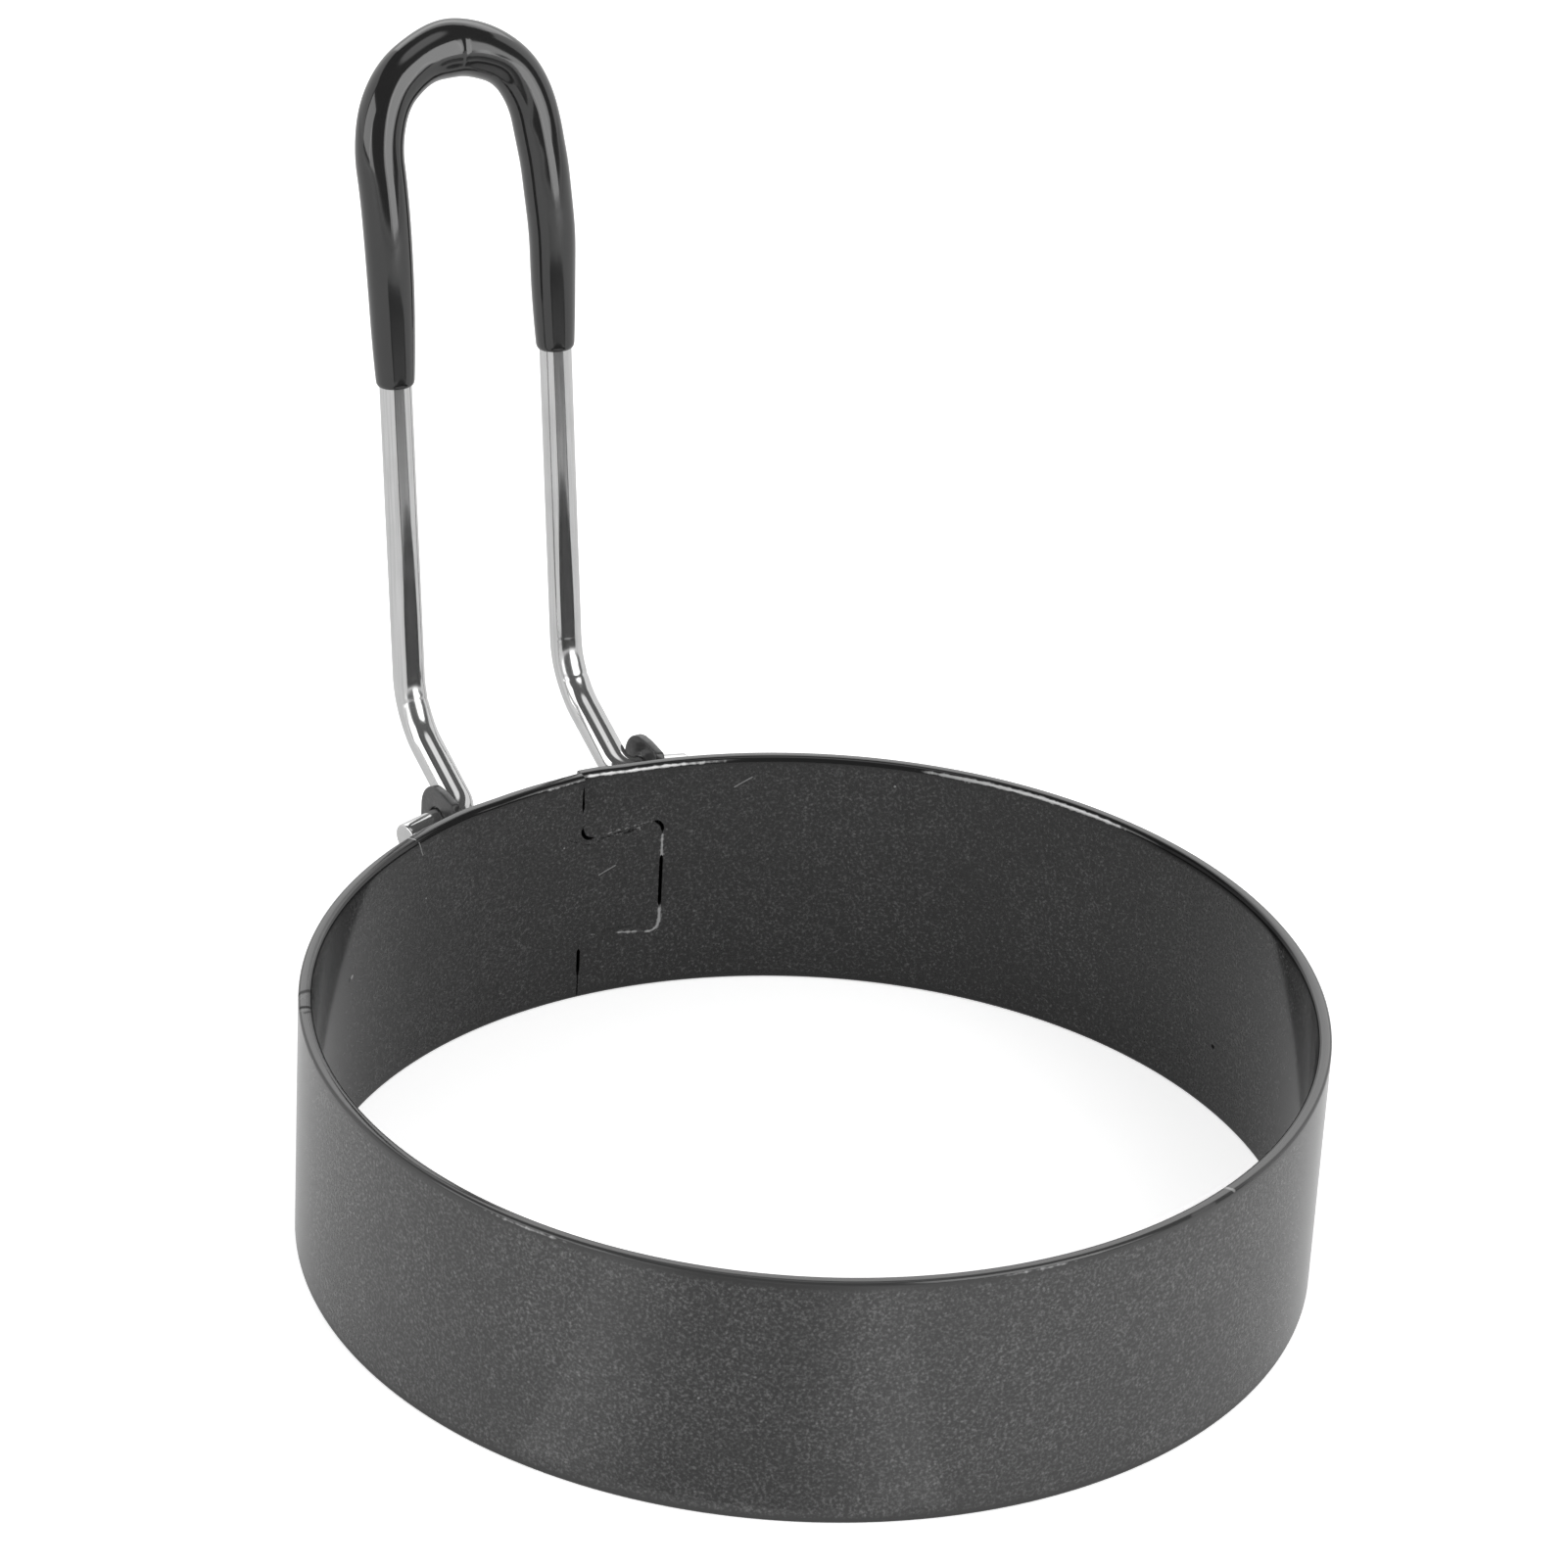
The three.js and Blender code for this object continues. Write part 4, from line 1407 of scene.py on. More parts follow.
@dataclass
class FoldingHandle:
    """The cranked hairpin of plated wire, and the vinyl grip dipped on its upper end.

    Attributes:
        wire: Radius of the wire.
        cut: Radius of the edges of its cut ends.
        cut_steps: Stations on such an edge.
        leg_half: Distance of each leg from the middle plane.
        tip_end: Distance of the tips' ends from the middle plane.
        ear_middle: Distance of the ears' middle from the middle plane, where a tip crosses the pivot.
        tip_bend: Radius of the wire's middle where it turns out into an ear.
        tip_droop: How far a tip falls short of a square bend.
        lower_leg: Length from the pivot to the crank's corner.
        lower_rise: Slope of the lower leg above level.
        crank_radius: Radius of the crank.
        lean: Lean of the upper leg, out from upright.
        straight_leg: Length from the crank to where the wire starts to curve back.
        back_radius: Radius of that curve.
        back_length: Length of that curve up to the foot of the arch.
        arch_rise: Rise of the arch above its foot.
        arch_points: Points on the arch, with both feet.
        sum_start: Distance up the leg, below both tips, from which the side view is summed.
        sum_step: Step of that sum.
        bare_leg: Length from the crank to the grip's lower end.
        creases: Press marks in the cranks: the leg's side, the distance up the leg, and shares of
            the depth and width.
        crease_depth: Depth of the press marks.
        crease_width: Half-width of the press marks.
        crease_facing: Cosines of the angle round the wire at which a mark starts and is full.
        dents: Depth of the shallow dents in the cranks.
        dent_length: Length that sets how close the dents follow each other.
        dent_zone: Half-width of the stretch of a crank that has them.
        dent_twist: How far they are shifted round the wire.
        dent_shift: How far they are shifted from leg to leg.
        pressed: Middle and half-width of the stretch that the bending tool has scuffed.
        bore: Radius of the wire's place in the grip.
        bore_stations: Stations along the bore, with both ends.
        right_short: How much higher the grip ends on the right leg.
        grip_end: Radius of the grip near its lower ends.
        grip_leg: Radius of the grip on its legs and the arch's shoulders.
        grip_taper: Length that sets how soon the grip widens from its ends.
        grip_beads: What the vinyl that ran down while it set adds, by the distance from the top.
        grip_hump: How much the top stands up over the arch's middle.
        grip_fold: Depth of the short fold in the vinyl at the top.
        fold_facing: Cosines of the angle round the grip at which the fold starts and is full.
        grip_shift: How far the vinyl has set inwards on the wire, by the distance from the top.
        unevenness: Height of the slow waves in the vinyl.
        wave_zone: Half-width of the stretch of the arch that has them.
        wave_length: Length that sets how close they follow each other.
        wave_start: Where the waves begin, as an angle.
        lip: Length over which the grip's ends round off.
        lip_steps: Stations on such an end.
        step: Distance between stations along the wire.
        sides: Points round the wire and the grip.
    """

    wire: float = 1.5 * MM
    cut: float = 0.25 * MM
    cut_steps: int = 4
    leg_half: float = 8.4 * MM
    tip_end: float = 15.0 * MM
    ear_middle: float = 10.9 * MM
    tip_bend: float = 1.9 * MM
    tip_droop: float = math.radians(11)
    lower_leg: float = 12.0 * MM
    lower_rise: float = math.radians(28.4)
    crank_radius: float = 7.8 * MM
    lean: float = math.radians(7.4)
    straight_leg: float = 34.9 * MM
    back_radius: float = 83.0 * MM
    back_length: float = 13.6 * MM
    arch_rise: float = 9.6 * MM
    arch_points: int = 121
    sum_start: float = -5.0 * MM
    sum_step: float = 0.01 * MM
    bare_leg: float = 28.3 * MM
    creases: tuple[tuple[int, float, float, float], ...] = (
        (-1, 12.77 * MM, 1.0, 1.0),
        (1, 11.46 * MM, 1.0, 1.0),
        (1, 15.56 * MM, 0.25, 0.4),
    )
    crease_depth: float = 0.055 * MM
    crease_width: float = 0.24 * MM
    crease_facing: Pair = (-0.4, 0.5)
    dents: float = 0.009 * MM
    dent_length: float = 0.8 * MM
    dent_zone: float = 3.4 * MM
    dent_twist: float = 1.7
    dent_shift: float = 2.0
    pressed: Pair = (12.3 * MM, 2.4 * MM)
    bore: float = 1.53 * MM
    bore_stations: int = 120
    right_short: float = 0.33 * MM
    grip_end: float = 1.76 * MM
    grip_leg: float = 2.25 * MM
    grip_taper: float = 7.0 * MM
    grip_beads: tuple[Bell, ...] = (
        (0.36 * MM, -1.2 * MM, 4.4 * MM),
        (0.0576 * MM, 5.5 * MM, 3.0 * MM),
    )
    grip_hump: Bell = (0.14 * MM, -0.1 * MM, 2.2 * MM)
    grip_fold: Bell = (0.09 * MM, -0.8 * MM, 0.16 * MM)
    fold_facing: Pair = (0.8, 0.97)
    grip_shift: tuple[Bell, ...] = (
        (0.27 * MM, -13.2 * MM, 2.6 * MM),
        (-0.14 * MM, -23.0 * MM, 3.2 * MM),
        (-0.21 * MM, -7.0 * MM, 2.4 * MM),
        (0.16 * MM, 0.8 * MM, 3.4 * MM),
        (-0.1 * MM, 8.0 * MM, 2.6 * MM),
        (0.11 * MM, 16.0 * MM, 6.0 * MM),
    )
    unevenness: float = 0.02 * MM
    wave_zone: float = 11.0 * MM
    wave_length: float = 0.75 * MM
    wave_start: float = 1.0
    lip: float = 0.5 * MM
    lip_steps: int = 8
    step: float = 0.16 * MM
    sides: int = 36

    def __post_init__(self) -> None:
        """Takes the hinge from the frame and works out the stops along the leg."""
        self.pivot: Vector = Vector(frame["joints"][0]["pos_m"])
        turn = np.pi / 2 - self.lean - self.lower_rise
        self.crank_start: float = self.lower_leg - self.crank_radius * math.tan(turn / 2)
        self.crank_end: float = self.crank_start + self.crank_radius * turn
        self.back_start: float = self.crank_end + self.straight_leg
        self.arch_foot: float = self.back_start + self.back_length

    def flat_line(self) -> Array:
        """The hairpin laid flat.

        A tip slopes to the corner of the leg, the leg runs straight to the arch's foot, and the arch
        is half an ellipse. The other half is its mirror image.

        Returns:
            Its points: sideways from the middle plane, and distance up the leg.
        """
        slope = math.tan(self.tip_droop)
        corners = np.array([
            [self.tip_end, -slope * (self.tip_end - self.ear_middle)],
            [self.leg_half, slope * (self.ear_middle - self.leg_half)],
            [self.leg_half, self.arch_foot],
        ])
        leg = rounded_line(corners, self.tip_bend)
        half_turn = unit(np.linspace(0, np.pi, self.arch_points)[1:-1])
        arch = [0, self.arch_foot] + [self.leg_half, self.arch_rise] * half_turn
        return np.vstack([leg, arch, (leg * [-1, 1])[::-1]])

    def bent(self, flat: Array) -> tuple[Array, Array]:
        """Bends the flat hairpin to its side view.

        The heading above level is a straight-line function of the distance between the ends of the
        crank and the back curve, and the side view is the running sum of its cosine and sine.

        Args:
            flat: Places in the flat hairpin.

        Returns:
            Places of the wire's middle, and unit normals that face the ring.
        """
        far = self.arch_foot + 2 * self.arch_rise
        upright = np.pi / 2 - self.lean
        bowed = upright - (far - self.back_start) / self.back_radius
        stops = [self.sum_start, self.crank_start, self.crank_end, self.back_start, far]
        headings = [self.lower_rise, self.lower_rise, upright, upright, bowed]
        fine = np.arange(self.sum_start, far, self.sum_step)
        heading = np.interp(fine, stops, headings)
        y, z = (np.cumsum(slope(heading)) * (fine[1] - fine[0]) for slope in (np.cos, np.sin))
        distance = flat[:, 1]
        place = np.stack([
            flat[:, 0],
            self.pivot.y + np.interp(distance, fine, y) - np.interp(0.0, fine, y),
            self.pivot.z + np.interp(distance, fine, z) - np.interp(0.0, fine, z),
        ], axis=1)
        tilt = np.interp(distance, stops, headings)
        return place, np.stack([np.zeros(len(tilt)), -np.sin(tilt), np.cos(tilt)], axis=1)

    def stations(self, total: float, end: float, end_steps: int) -> Array:
        """Distances along a piece: close together where its ends round off, even between."""
        near = edge_samples(end, end_steps)
        return np.concatenate([near, np.arange(2 * end, total - 2 * end, self.step), total - near[::-1]])

    def crease(self, flat: Array) -> Array:
        """Depth of the press marks that the bending tool left in the cranks, on the ring's side.

        Each mark is a bell curve along its leg, and a smooth step of the cosine of the angle round
        the wire keeps it to the side that faces the ring. Shallow dents run round the crank as a
        sine of the distance, shifted by a sine of the angle.

        Args:
            flat: Places in the flat hairpin.

        Returns:
            The depth at each station and angle.
        """
        turn = round_angles(self.sides)
        side, distance = np.sign(flat[:, :1]), flat[:, 1:]
        depth = sum(
            (side == leg) * depth_share * bump(place, width_share * self.crease_width, distance)
            for leg, place, depth_share, width_share in self.creases
        )
        marks = self.crease_depth * depth * smooth_step(*self.crease_facing, np.cos(turn))
        shift = self.dent_twist * np.sin(turn + side) + self.dent_shift * side
        near = bump((self.crank_start + self.crank_end) / 2, self.dent_zone, distance)
        return marks + self.dents * near * np.sin(distance / self.dent_length + shift)

    def build_wire(self, plating: PlatedWire) -> Piece:
        """Sweeps the wire along the hairpin, with broken edges on its cut ends.

        Args:
            plating: The wire's finish.

        Returns:
            The wire.
        """
        line = self.flat_line()
        total = line_lengths(line)[-1]
        stops = self.stations(total, self.cut, self.cut_steps)
        flat = point_on(line, stops)
        from_end = np.minimum(stops, total - stops)
        radius = (self.wire - edge_drop(from_end, self.cut))[:, None] - self.crease(flat)
        skin = swept(*self.bent(flat), radius, self.sides)
        wire = skin.turned_outwards().to_object("wire_hairpin")
        pressed = np.repeat(bump(*self.pressed, flat[:, 1]), self.sides)
        add_attribute(wire, "pressed", np.append(pressed, [0.0, 0.0]))
        dress(wire, plating.material(), Body.HANDLE, Node.WIRE)
        return wire

    def grip_radius(self, stops: Array, total: float) -> Array:
        """Outer radius of the grip along its length and round its girth.

        It widens from the ends as 1 - exp(-distance / taper), and bell curves add the beads of vinyl
        at the top and a hump on its upper side, and shift the vinyl on the wire. Slow waves make the
        arch uneven, a short fold marks its middle on the side that faces the ring, and both ends
        round off to the bore as a quarter ellipse.

        Args:
            stops: Distances from the grip's first end.
            total: Length of the grip.

        Returns:
            The radius at each stop and angle.
        """
        from_end = np.minimum(stops, total - stops)[:, None]
        from_top = (stops - (total - self.right_short) / 2)[:, None]
        waves = bump(0, self.wave_zone, from_top) * np.sin(from_top / self.wave_length + self.wave_start)
        radius = (
            self.grip_end
            + (self.grip_leg - self.grip_end) * (1 - np.exp(-from_end / self.grip_taper))
            + bells(self.grip_beads, from_top)
            + self.unevenness * waves
        )
        nose = np.clip(1 - from_end / self.lip, 0, 1)
        radius = self.bore + (radius - self.bore) * np.sqrt(1 - nose**2)
        angle = round_angles(self.sides)
        hump = bells((self.grip_hump,), from_top) * np.clip(np.sin(angle), 0, 1) ** 2
        inwards = bells(self.grip_shift, from_top) * np.sin(angle)
        fold = bells((self.grip_fold,), from_top) * smooth_step(*self.fold_facing, np.cos(angle))
        return radius + hump - inwards - fold

    def build_grip(self, vinyl: DippedVinyl) -> Piece:
        """Sweeps the grip's outer skin and its bore, and joins them at both ends.

        Args:
            vinyl: The grip's finish.

        Returns:
            The grip.
        """
        line = self.flat_line()
        reached = line_lengths(line)
        half = len(line) // 2
        left_end = np.interp(self.crank_end + self.bare_leg, line[:half, 1], reached[:half])
        start = left_end + self.right_short
        total = reached[-1] - start - left_end
        outer = self.stations(total, self.lip, self.lip_steps)
        inner = np.linspace(0, total, self.bore_stations)[1:-1]
        bore_radius = np.full((len(inner), 1), self.bore)
        shell, bore = (
            swept(*self.bent(point_on(line, start + stops)), radius, self.sides)
            for stops, radius in ((outer, self.grip_radius(outer, total)), (inner, bore_radius))
        )
        grip = self.joined(shell, bore).to_object("vinyl_grip")
        dress(grip, vinyl.material(), Body.HANDLE, Node.GRIP)
        return grip

    def joined(self, shell: Skin, bore: Skin) -> Skin:
        """Joins an outer skin and a bore, without their caps, into one closed sleeve.

        Args:
            shell: The outer skin.
            bore: The bore, swept in the same direction.

        Returns:
            The closed skin.
        """
        points = np.vstack([shell.points[:-2], bore.points[:-2]])
        first = len(shell.points) - 2
        ring = np.arange(self.sides)
        after = np.roll(ring, -1)
        far, last = first - self.sides, len(points) - self.sides
        quads = np.vstack([
            shell.quads,
            bore.quads[:, ::-1] + first,
            np.stack([ring, after, first + after, first + ring], axis=1),
            np.stack([far + ring, last + ring, last + after, far + after], axis=1),
        ])
        ends = np.zeros((2 * self.sides, 4, 2))
        uv = np.vstack([shell.corner_uv, bore.corner_uv[:, ::-1], ends])
        return Skin(points, quads, corner_uv=uv).turned_outwards()


# Studio


@dataclass(frozen=True)
class SoftBox:
    """A lamp with a rectangle for a face, turned to the object.

    Attributes:
        name: Name of the lamp.
        side: Its direction from the camera's azimuth in degrees.
        elevation: Its height above the horizon in degrees.
        width: Width of its face.
        height: Height of its face.
        level: Brightness of its face, where 1 is white.
    """

    name: str
    side: float
    elevation: float
    width: float
    height: float
    level: float


@dataclass(frozen=True)
class FloorCard:
    """A grey card on the floor, which only reflections see.

    Attributes:
        name: Name of the card.
        azimuths: Directions of its two sides in degrees.
        reach: Distances of its near and far ends from the ring's middle.
        levels: Brightness at its near end, its far end and its sides.
        core: Share of its half-width that keeps its middle's tone.
        turn: Turn of its middle at its far end in degrees.
        narrow: Share of its spread at its far end.
    """

    name: str
    azimuths: Pair
    reach: Pair
    levels: Triple
    core: float
    turn: float = 0.0
    narrow: float = 1.0


@dataclass
class Studio:
    """The floor, the dark curtain in front, the lamps and the camera.

    Azimuths are 0 looking along +Y, and sides are directions from the camera's azimuth. Both are in
    degrees, as elevations are. A brightness of 1 is white.

    Attributes:
        azimuth: Camera's direction round the object.
        elevation: Camera's height above the horizon.
        roll: Camera's roll in degrees.
        distance: Camera's distance from the plane through the ring's middle.
        aim_right: How far right of the ring's middle the camera aims.
        aim_up: How far above the ring's middle the camera aims.
        lens: Focal length in millimetres.
        sensor: Width of the sensor in millimetres.
        clip: Distances between which the camera sees.
        key: The key lamp.
        fill: The fill lamp.
        back: The lamp behind.
        lamp_distance: Distance of the lamps from the place they face.
        lamp_aim: Height of that place above the origin.
        room_light: Brightness at which the white surroundings light the object.
        floor_radius: Radius of the floor.
        floor_grid: Rings and sectors of its grid.
        floor_drop: How far the floor lies below the band, so that their faces don't coincide.
        floor_grey: Grey of the floor.
        floor_roughness: Roughness of the floor.
        floor_glow: What the floor shines of itself to the camera, and to the camera and gloss.
        curtain_radius: Radius of the dark curtain.
        curtain_grid: Rows and columns of its grid.
        curtain_rise: Elevation of its lower edge at the back.
        curtain_foot: Elevation of its lower edge in front.
        curtain_back: Sides between which its lower edge rises to the back, on the left and right.
        curtain_level: Brightness of the dark curtain.
        ceiling_level: What is added to that overhead.
        ceiling_edge: Elevations at which the ceiling starts and is full.
        window_soft: Half-width of the windows' upright edges.
        key_window: Sides of the bright window beside the key lamp.
        key_window_low: Where it ends low down.
        key_window_foot: Elevations between which its end moves out.
        key_window_top: Elevations between which it fades out.
        key_window_level: What it adds to the curtain's brightness.
        key_half: Half-width of the key lamp's face in degrees.
        fill_window_end: Where the window beside the fill lamp ends low down.
        fill_window_foot: Elevation of that end.
        fill_window_lean: Degrees that it ends further left for each degree of elevation.
        fill_window_top: Elevations between which it fades out.
        fill_half: Half-width of the fill lamp's face in degrees.
        cards: The cards on the floor.
        card_grid: Rows and columns of a card's grid.
        card_height: Height of the cards above the origin.
        card_bow: Share by which a card's far end is nearer at its corners.
        card_far_tone: Share of a card's length at which it has its far end's tone.
        card_side_tone: Share of a card's half-width at which it has its sides' tone.
    """

    azimuth: float = -33.35
    elevation: float = 28.774
    roll: float = 3.1373
    distance: float = 0.56945
    aim_right: float = -3.81 * MM
    aim_up: float = 28.97 * MM
    lens: float = 148.58
    sensor: float = 36.0
    clip: Pair = (0.01, 10.0)
    key: SoftBox = SoftBox("key_box", 48.0, 26.0, 0.7, 1.25, 3.25)
    fill: SoftBox = SoftBox("fill_box", -62.0, 22.0, 0.9, 0.8, 2.4)
    back: SoftBox = SoftBox("back_box", 180.0, 36.0, 1.6, 0.7, 1.3)
    lamp_distance: float = 1.3
    lamp_aim: float = 40 * MM
    room_light: float = 0.5
    floor_radius: float = 1.9
    floor_grid: tuple[int, int] = (12, 96)
    floor_drop: float = 0.02 * MM
    floor_grey: float = 0.78
    floor_roughness: float = 0.9
    floor_glow: Pair = (0.5, 0.15)
    curtain_radius: float = 2.2
    curtain_grid: tuple[int, int] = (40, 181)
    curtain_rise: float = 40.0
    curtain_foot: float = 2.0
    curtain_back: tuple[Pair, Pair] = ((-92.0, -78.0), (98.0, 112.0))
    curtain_level: float = 0.08
    ceiling_level: float = 1.1
    ceiling_edge: Pair = (71.0, 79.0)
    window_soft: float = 1.5
    key_window: Pair = (25.0, 76.0)
    key_window_low: float = 60.0
    key_window_foot: Pair = (5.0, 11.0)
    key_window_top: Pair = (45.0, 49.0)
    key_window_level: float = 2.6
    key_half: float = 13.7
    fill_window_end: float = -27.0
    fill_window_foot: float = 7.0
    fill_window_lean: float = 0.8
    fill_window_top: Pair = (37.0, 41.0)
    fill_half: float = 18.0
    cards: tuple[FloorCard, ...] = (
        FloorCard("front_card", (-66.0, -16.0), (0.0465, 0.1), (0.24, 0.29, 1.0), 0.2),
        FloorCard("far_card", (-55.0, 52.0), (0.11, 0.42), (0.5, 0.12, 0.1), 0.74, -14.0, 0.66),
    )
    card_grid: tuple[int, int] = (32, 33)
    card_height: float = 0.3 * MM
    card_bow: float = 0.2
    card_far_tone: float = 0.5
    card_side_tone: float = 0.97

    def direction(self, azimuth: float, elevation: float) -> Vector:
        """Unit vector towards a place by its azimuth and elevation."""
        a, e = math.radians(azimuth), math.radians(elevation)
        return Vector((math.sin(a) * math.cos(e), -math.cos(a) * math.cos(e), math.sin(e)))

    def add_camera(self, middle: Vector) -> None:
        """Makes the camera, at the photograph's place and with its lens.

        Args:
            middle: The ring's middle.
        """
        back = self.direction(self.azimuth, self.elevation)
        right = Vector((0, 0, 1)).cross(back).normalized()
        up = back.cross(right)
        roll = math.radians(self.roll)
        across = right * math.cos(roll) + up * math.sin(roll)
        upward = up * math.cos(roll) - right * math.sin(roll)
        place = middle + back * self.distance + right * self.aim_right + up * self.aim_up
        data = bpy.data.cameras.new("camera")
        data.lens, data.sensor_width = self.lens, self.sensor
        data.clip_start, data.clip_end = self.clip
        camera = bpy.data.objects.new("camera", data)
        turn = Matrix((across, upward, back)).transposed().to_4x4()
        camera.matrix_world = Matrix.Translation(place) @ turn
        bpy.context.scene.collection.objects.link(camera)
        bpy.context.scene.camera = camera

    def seen(self, tree: Tree) -> Socket:
        """Tells the rays that see the white surroundings from those that carry their light.

        Args:
            tree: Tree that gets the nodes.

        Returns:
            1 for rays from the camera and for rays in gloss or glass, otherwise 0.
        """
        path = add_node(tree, "ShaderNodeLightPath").outputs
        gloss = calc(tree, "MAXIMUM", path["Is Glossy Ray"], path["Is Transmission Ray"])
        return calc(tree, "MAXIMUM", path["Is Camera Ray"], gloss)

    def add_floor(self) -> None:
        """Lays a round white floor, with rings as one parameter and directions as the other."""
        rings, sectors = self.floor_grid
        radius = np.linspace(0, self.floor_radius, rings + 1)[1:, None]
        angle = round_angles(sectors)
        grid = grid_of(radius * np.cos(angle), radius * np.sin(angle), -self.floor_drop)
        points = np.vstack([grid.reshape(-1, 3), [[0, 0, -self.floor_drop]]])
        quads = grid_quads(rings, sectors, closed=True)
        heart = cap_faces(len(points) - 1, np.arange(sectors))
        floor = Skin(points, quads, heart).to_object("floor")
        material, tree, shader = new_material("white_floor", {
            "Base Color": grey(self.floor_grey),
            "Roughness": self.floor_roughness,
            "Specular IOR Level": 0.0,
            "Emission Color": grey(1.0),
        })
        camera = add_node(tree, "ShaderNodeLightPath").outputs["Is Camera Ray"]
        to_camera, to_all = self.floor_glow
        glow = calc(tree, "MULTIPLY", self.seen(tree), to_all)
        glow = calc(tree, "MULTIPLY_ADD", camera, to_camera, glow)
        set_inputs(tree, shader, {"Emission Strength": glow})
        floor.data.materials.append(material)

    def add_curtain(self) -> None:
        """Hangs a dark dome over the object, open low at the back, which only reflections see."""
        rows, columns = self.curtain_grid
        side = np.linspace(-180, 180, columns)
        left, right = self.curtain_back
        behind = smooth_step(*right, side) + 1 - smooth_step(*left, side)
        foot = self.curtain_foot + (self.curtain_rise - self.curtain_foot) * behind
        height = foot + (90 - foot) * np.linspace(0, 1, rows)[:, None]
        around, rise = np.radians(self.azimuth + side), np.radians(height)
        across, along = np.sin(around) * np.cos(rise), -np.cos(around) * np.cos(rise)
        dome = Skin.of_grid(self.curtain_radius * grid_of(across, along, np.sin(rise)))
        self.show_to_gloss(dome.to_object("curtain"), self.curtain_tone(side, height))

    def curtain_tone(self, side: Array, height: Array) -> Array:
        """Brightness of the curtain: dark, paler overhead, with a bright window beside each front lamp.

        Neither window is behind its lamp, whose half-width in azimuth is a constant over the cosine
        of the elevation.

        Args:
            side: Directions of the grid's columns.
            height: Elevations of the grid's points.

        Returns:
            The brightness at each height and side.
        """
        def soft(past: Array) -> Array:
            """An upright edge: 0 before it and 1 past it."""
            return smooth_step(-self.window_soft, self.window_soft, past)

        stretch = 1 / np.cos(np.radians(height))
        start, end = self.key_window
        key_end = self.key_window_low
        key_end = key_end + (end - key_end) * smooth_step(*self.key_window_foot, height)
        beside = soft(np.abs(side - self.key.side) - self.key_half * stretch)
        key_window = soft(side - start) * (1 - soft(side - key_end)) * beside
        key_window = key_window * (1 - smooth_step(*self.key_window_top, height))
        fill_end = self.fill_window_end - self.fill_window_lean * (height - self.fill_window_foot)
        beside = soft(side - self.fill.side - self.fill_half * stretch)
        fill_window = beside * (1 - soft(side - fill_end))
        fill_window = fill_window * (1 - smooth_step(*self.fill_window_top, height))
        return (
            self.curtain_level
            + self.ceiling_level * smooth_step(*self.ceiling_edge, height)
            + self.key_window_level * key_window
            + self.fill.level * fill_window
        )

    def add_floor_card(self, card: FloorCard, middle: Vector) -> None:
        """Lays a grey card on the floor in front of the ring.

        The card is a grid of directions and distances from the ring's middle. Its far end bows
        out, and its tone is one number at the near end and one at the far end, with darker or
        lighter sides.

        Args:
            card: The card.
            middle: The ring's middle.
        """
        rows, columns = self.card_grid
        share, across = np.linspace(0, 1, rows)[:, None], np.linspace(-1, 1, columns)[None, :]
        (left, right), (near_end, far_end) = card.azimuths, card.reach
        spread = (right - left) / 2 * (1 + (card.narrow - 1) * share)
        turn = np.radians((left + right) / 2 + card.turn * share + across * spread)
        distance = near_end + share * (far_end * (1 - self.card_bow * across**4) - near_end)
        x, y = middle.x + distance * np.sin(turn), middle.y - distance * np.cos(turn)
        sheet = Skin.of_grid(grid_of(x, y, self.card_height)).to_object(card.name)
        near, far, side = card.levels
        level = near + (far - near) * smooth_step(0.0, self.card_far_tone, share)
        edge = smooth_step(card.core, self.card_side_tone, np.abs(across))
        self.show_to_gloss(sheet, level + (side - level) * edge)

    def show_to_gloss(self, sheet: Piece, level: Array) -> None:
        """Lights a sheet by a number of its own and shows it to reflections only.

        Args:
            sheet: The sheet.
            level: Its brightness at each point.
        """
        add_attribute(sheet, "level", level)
        material, tree, shader = new_material(sheet.name, {
            "Base Color": grey(0.0),
            "Specular IOR Level": 0.0,
            "Emission Color": grey(1.0),
        })
        set_inputs(tree, shader, {"Emission Strength": attribute(tree, "level")})
        sheet.data.materials.append(material)
        sheet.visible_camera = sheet.visible_diffuse = sheet.visible_shadow = False

    def add_lamp(self, box: SoftBox) -> None:
        """Places a lamp that faces the object.

        Args:
            box: The lamp.
        """
        data = bpy.data.lights.new(box.name, "AREA")
        data.shape, data.size, data.size_y = "RECTANGLE", box.width, box.height
        data.energy = box.level * math.pi * box.width * box.height
        back = self.direction(self.azimuth + box.side, box.elevation)
        place = Vector((0, 0, self.lamp_aim)) + back * self.lamp_distance
        lamp = bpy.data.objects.new(box.name, data)
        lamp.matrix_world = Matrix.Translation(place) @ back.to_track_quat("Z", "Y").to_matrix().to_4x4()
        lamp.visible_camera = False
        bpy.context.scene.collection.objects.link(lamp)

    def light(self) -> None:
        """Sets the white surroundings and the lamps."""
        world = bpy.data.worlds.new("white_room")
        world.use_nodes = True
        tree = world.node_tree
        tree.nodes.clear()
        rest = 1.0 - self.room_light
        strength = calc(tree, "MULTIPLY_ADD", self.seen(tree), rest, self.room_light)
        sky = add_node(tree, "ShaderNodeBackground", {"Color": grey(1.0), "Strength": strength})
        add_node(tree, "ShaderNodeOutputWorld", {"Surface": sky.outputs[0]})
        bpy.context.scene.world = world
        for box in (self.key, self.fill, self.back):
            self.add_lamp(box)

    def build(self, middle: Vector) -> None:
        """Sets the whole stage up.

        Args:
            middle: The ring's middle.
        """
        self.add_camera(middle)
        self.add_floor()
        self.add_curtain()
        for card in self.cards:
            self.add_floor_card(card, middle)
        self.light()
        bpy.context.scene.view_settings.view_transform = "Standard"


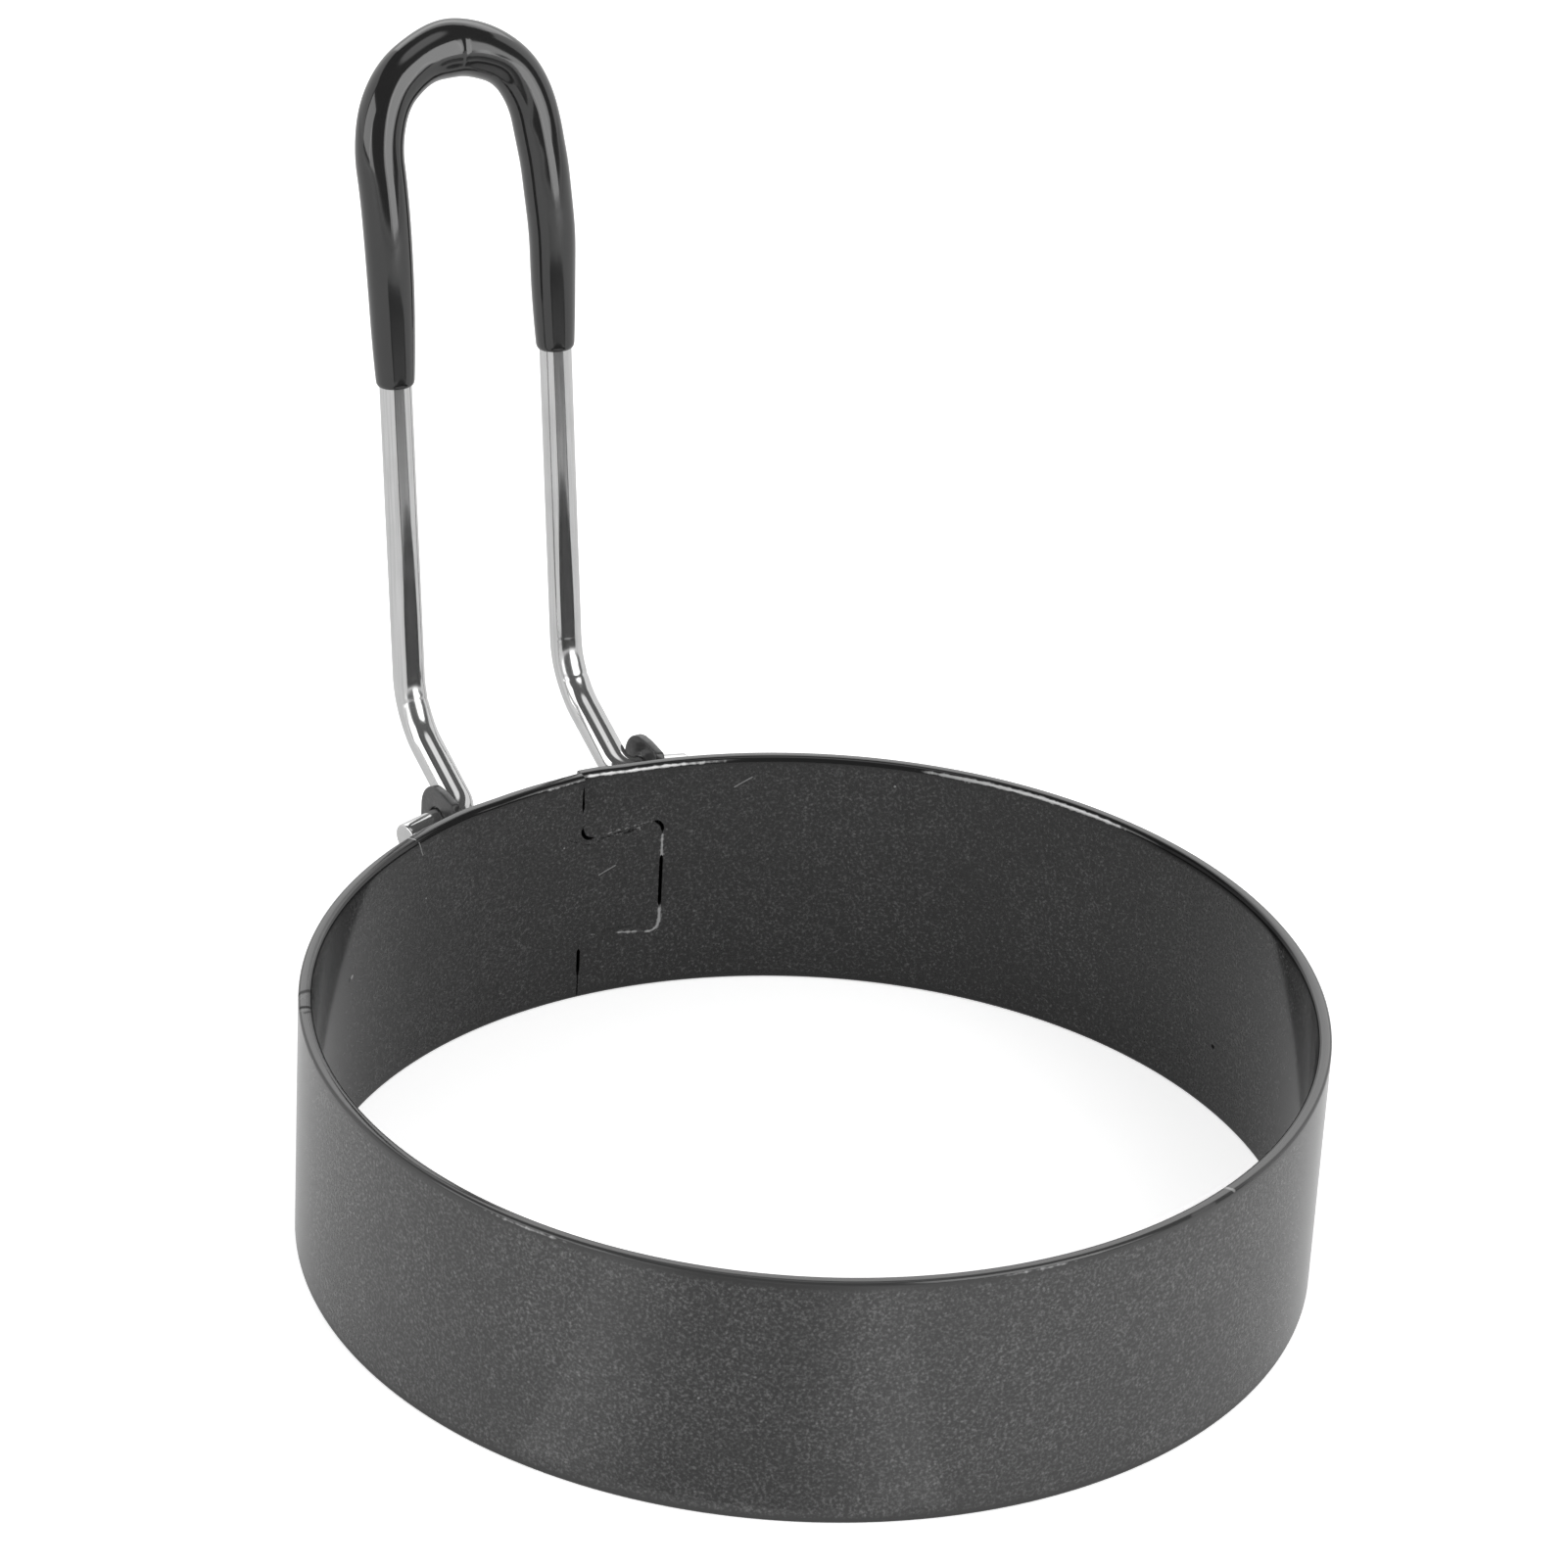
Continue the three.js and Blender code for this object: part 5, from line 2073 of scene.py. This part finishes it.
def main() -> None:
    """Builds the shared effects, the stage and the four pieces, in that order."""
    logging.basicConfig(level=logging.INFO, format="%(name)s: %(message)s")
    make_flecks()
    make_specks()
    make_streaks()
    make_mark()
    band = RolledBand()
    Studio().build(Vector((0, band.axis_y, band.height / 2)))
    band.build(FleckedCoating("flecked_coating"))
    bracket_coating = FleckedCoating("bracket_coating", base=0.035, fleck=0.07, skin_roughness=0.3)
    HingeBracket().build(band, bracket_coating)
    handle = FoldingHandle()
    handle.build_wire(PlatedWire())
    handle.build_grip(DippedVinyl())


if __name__ == "__main__":
    main()
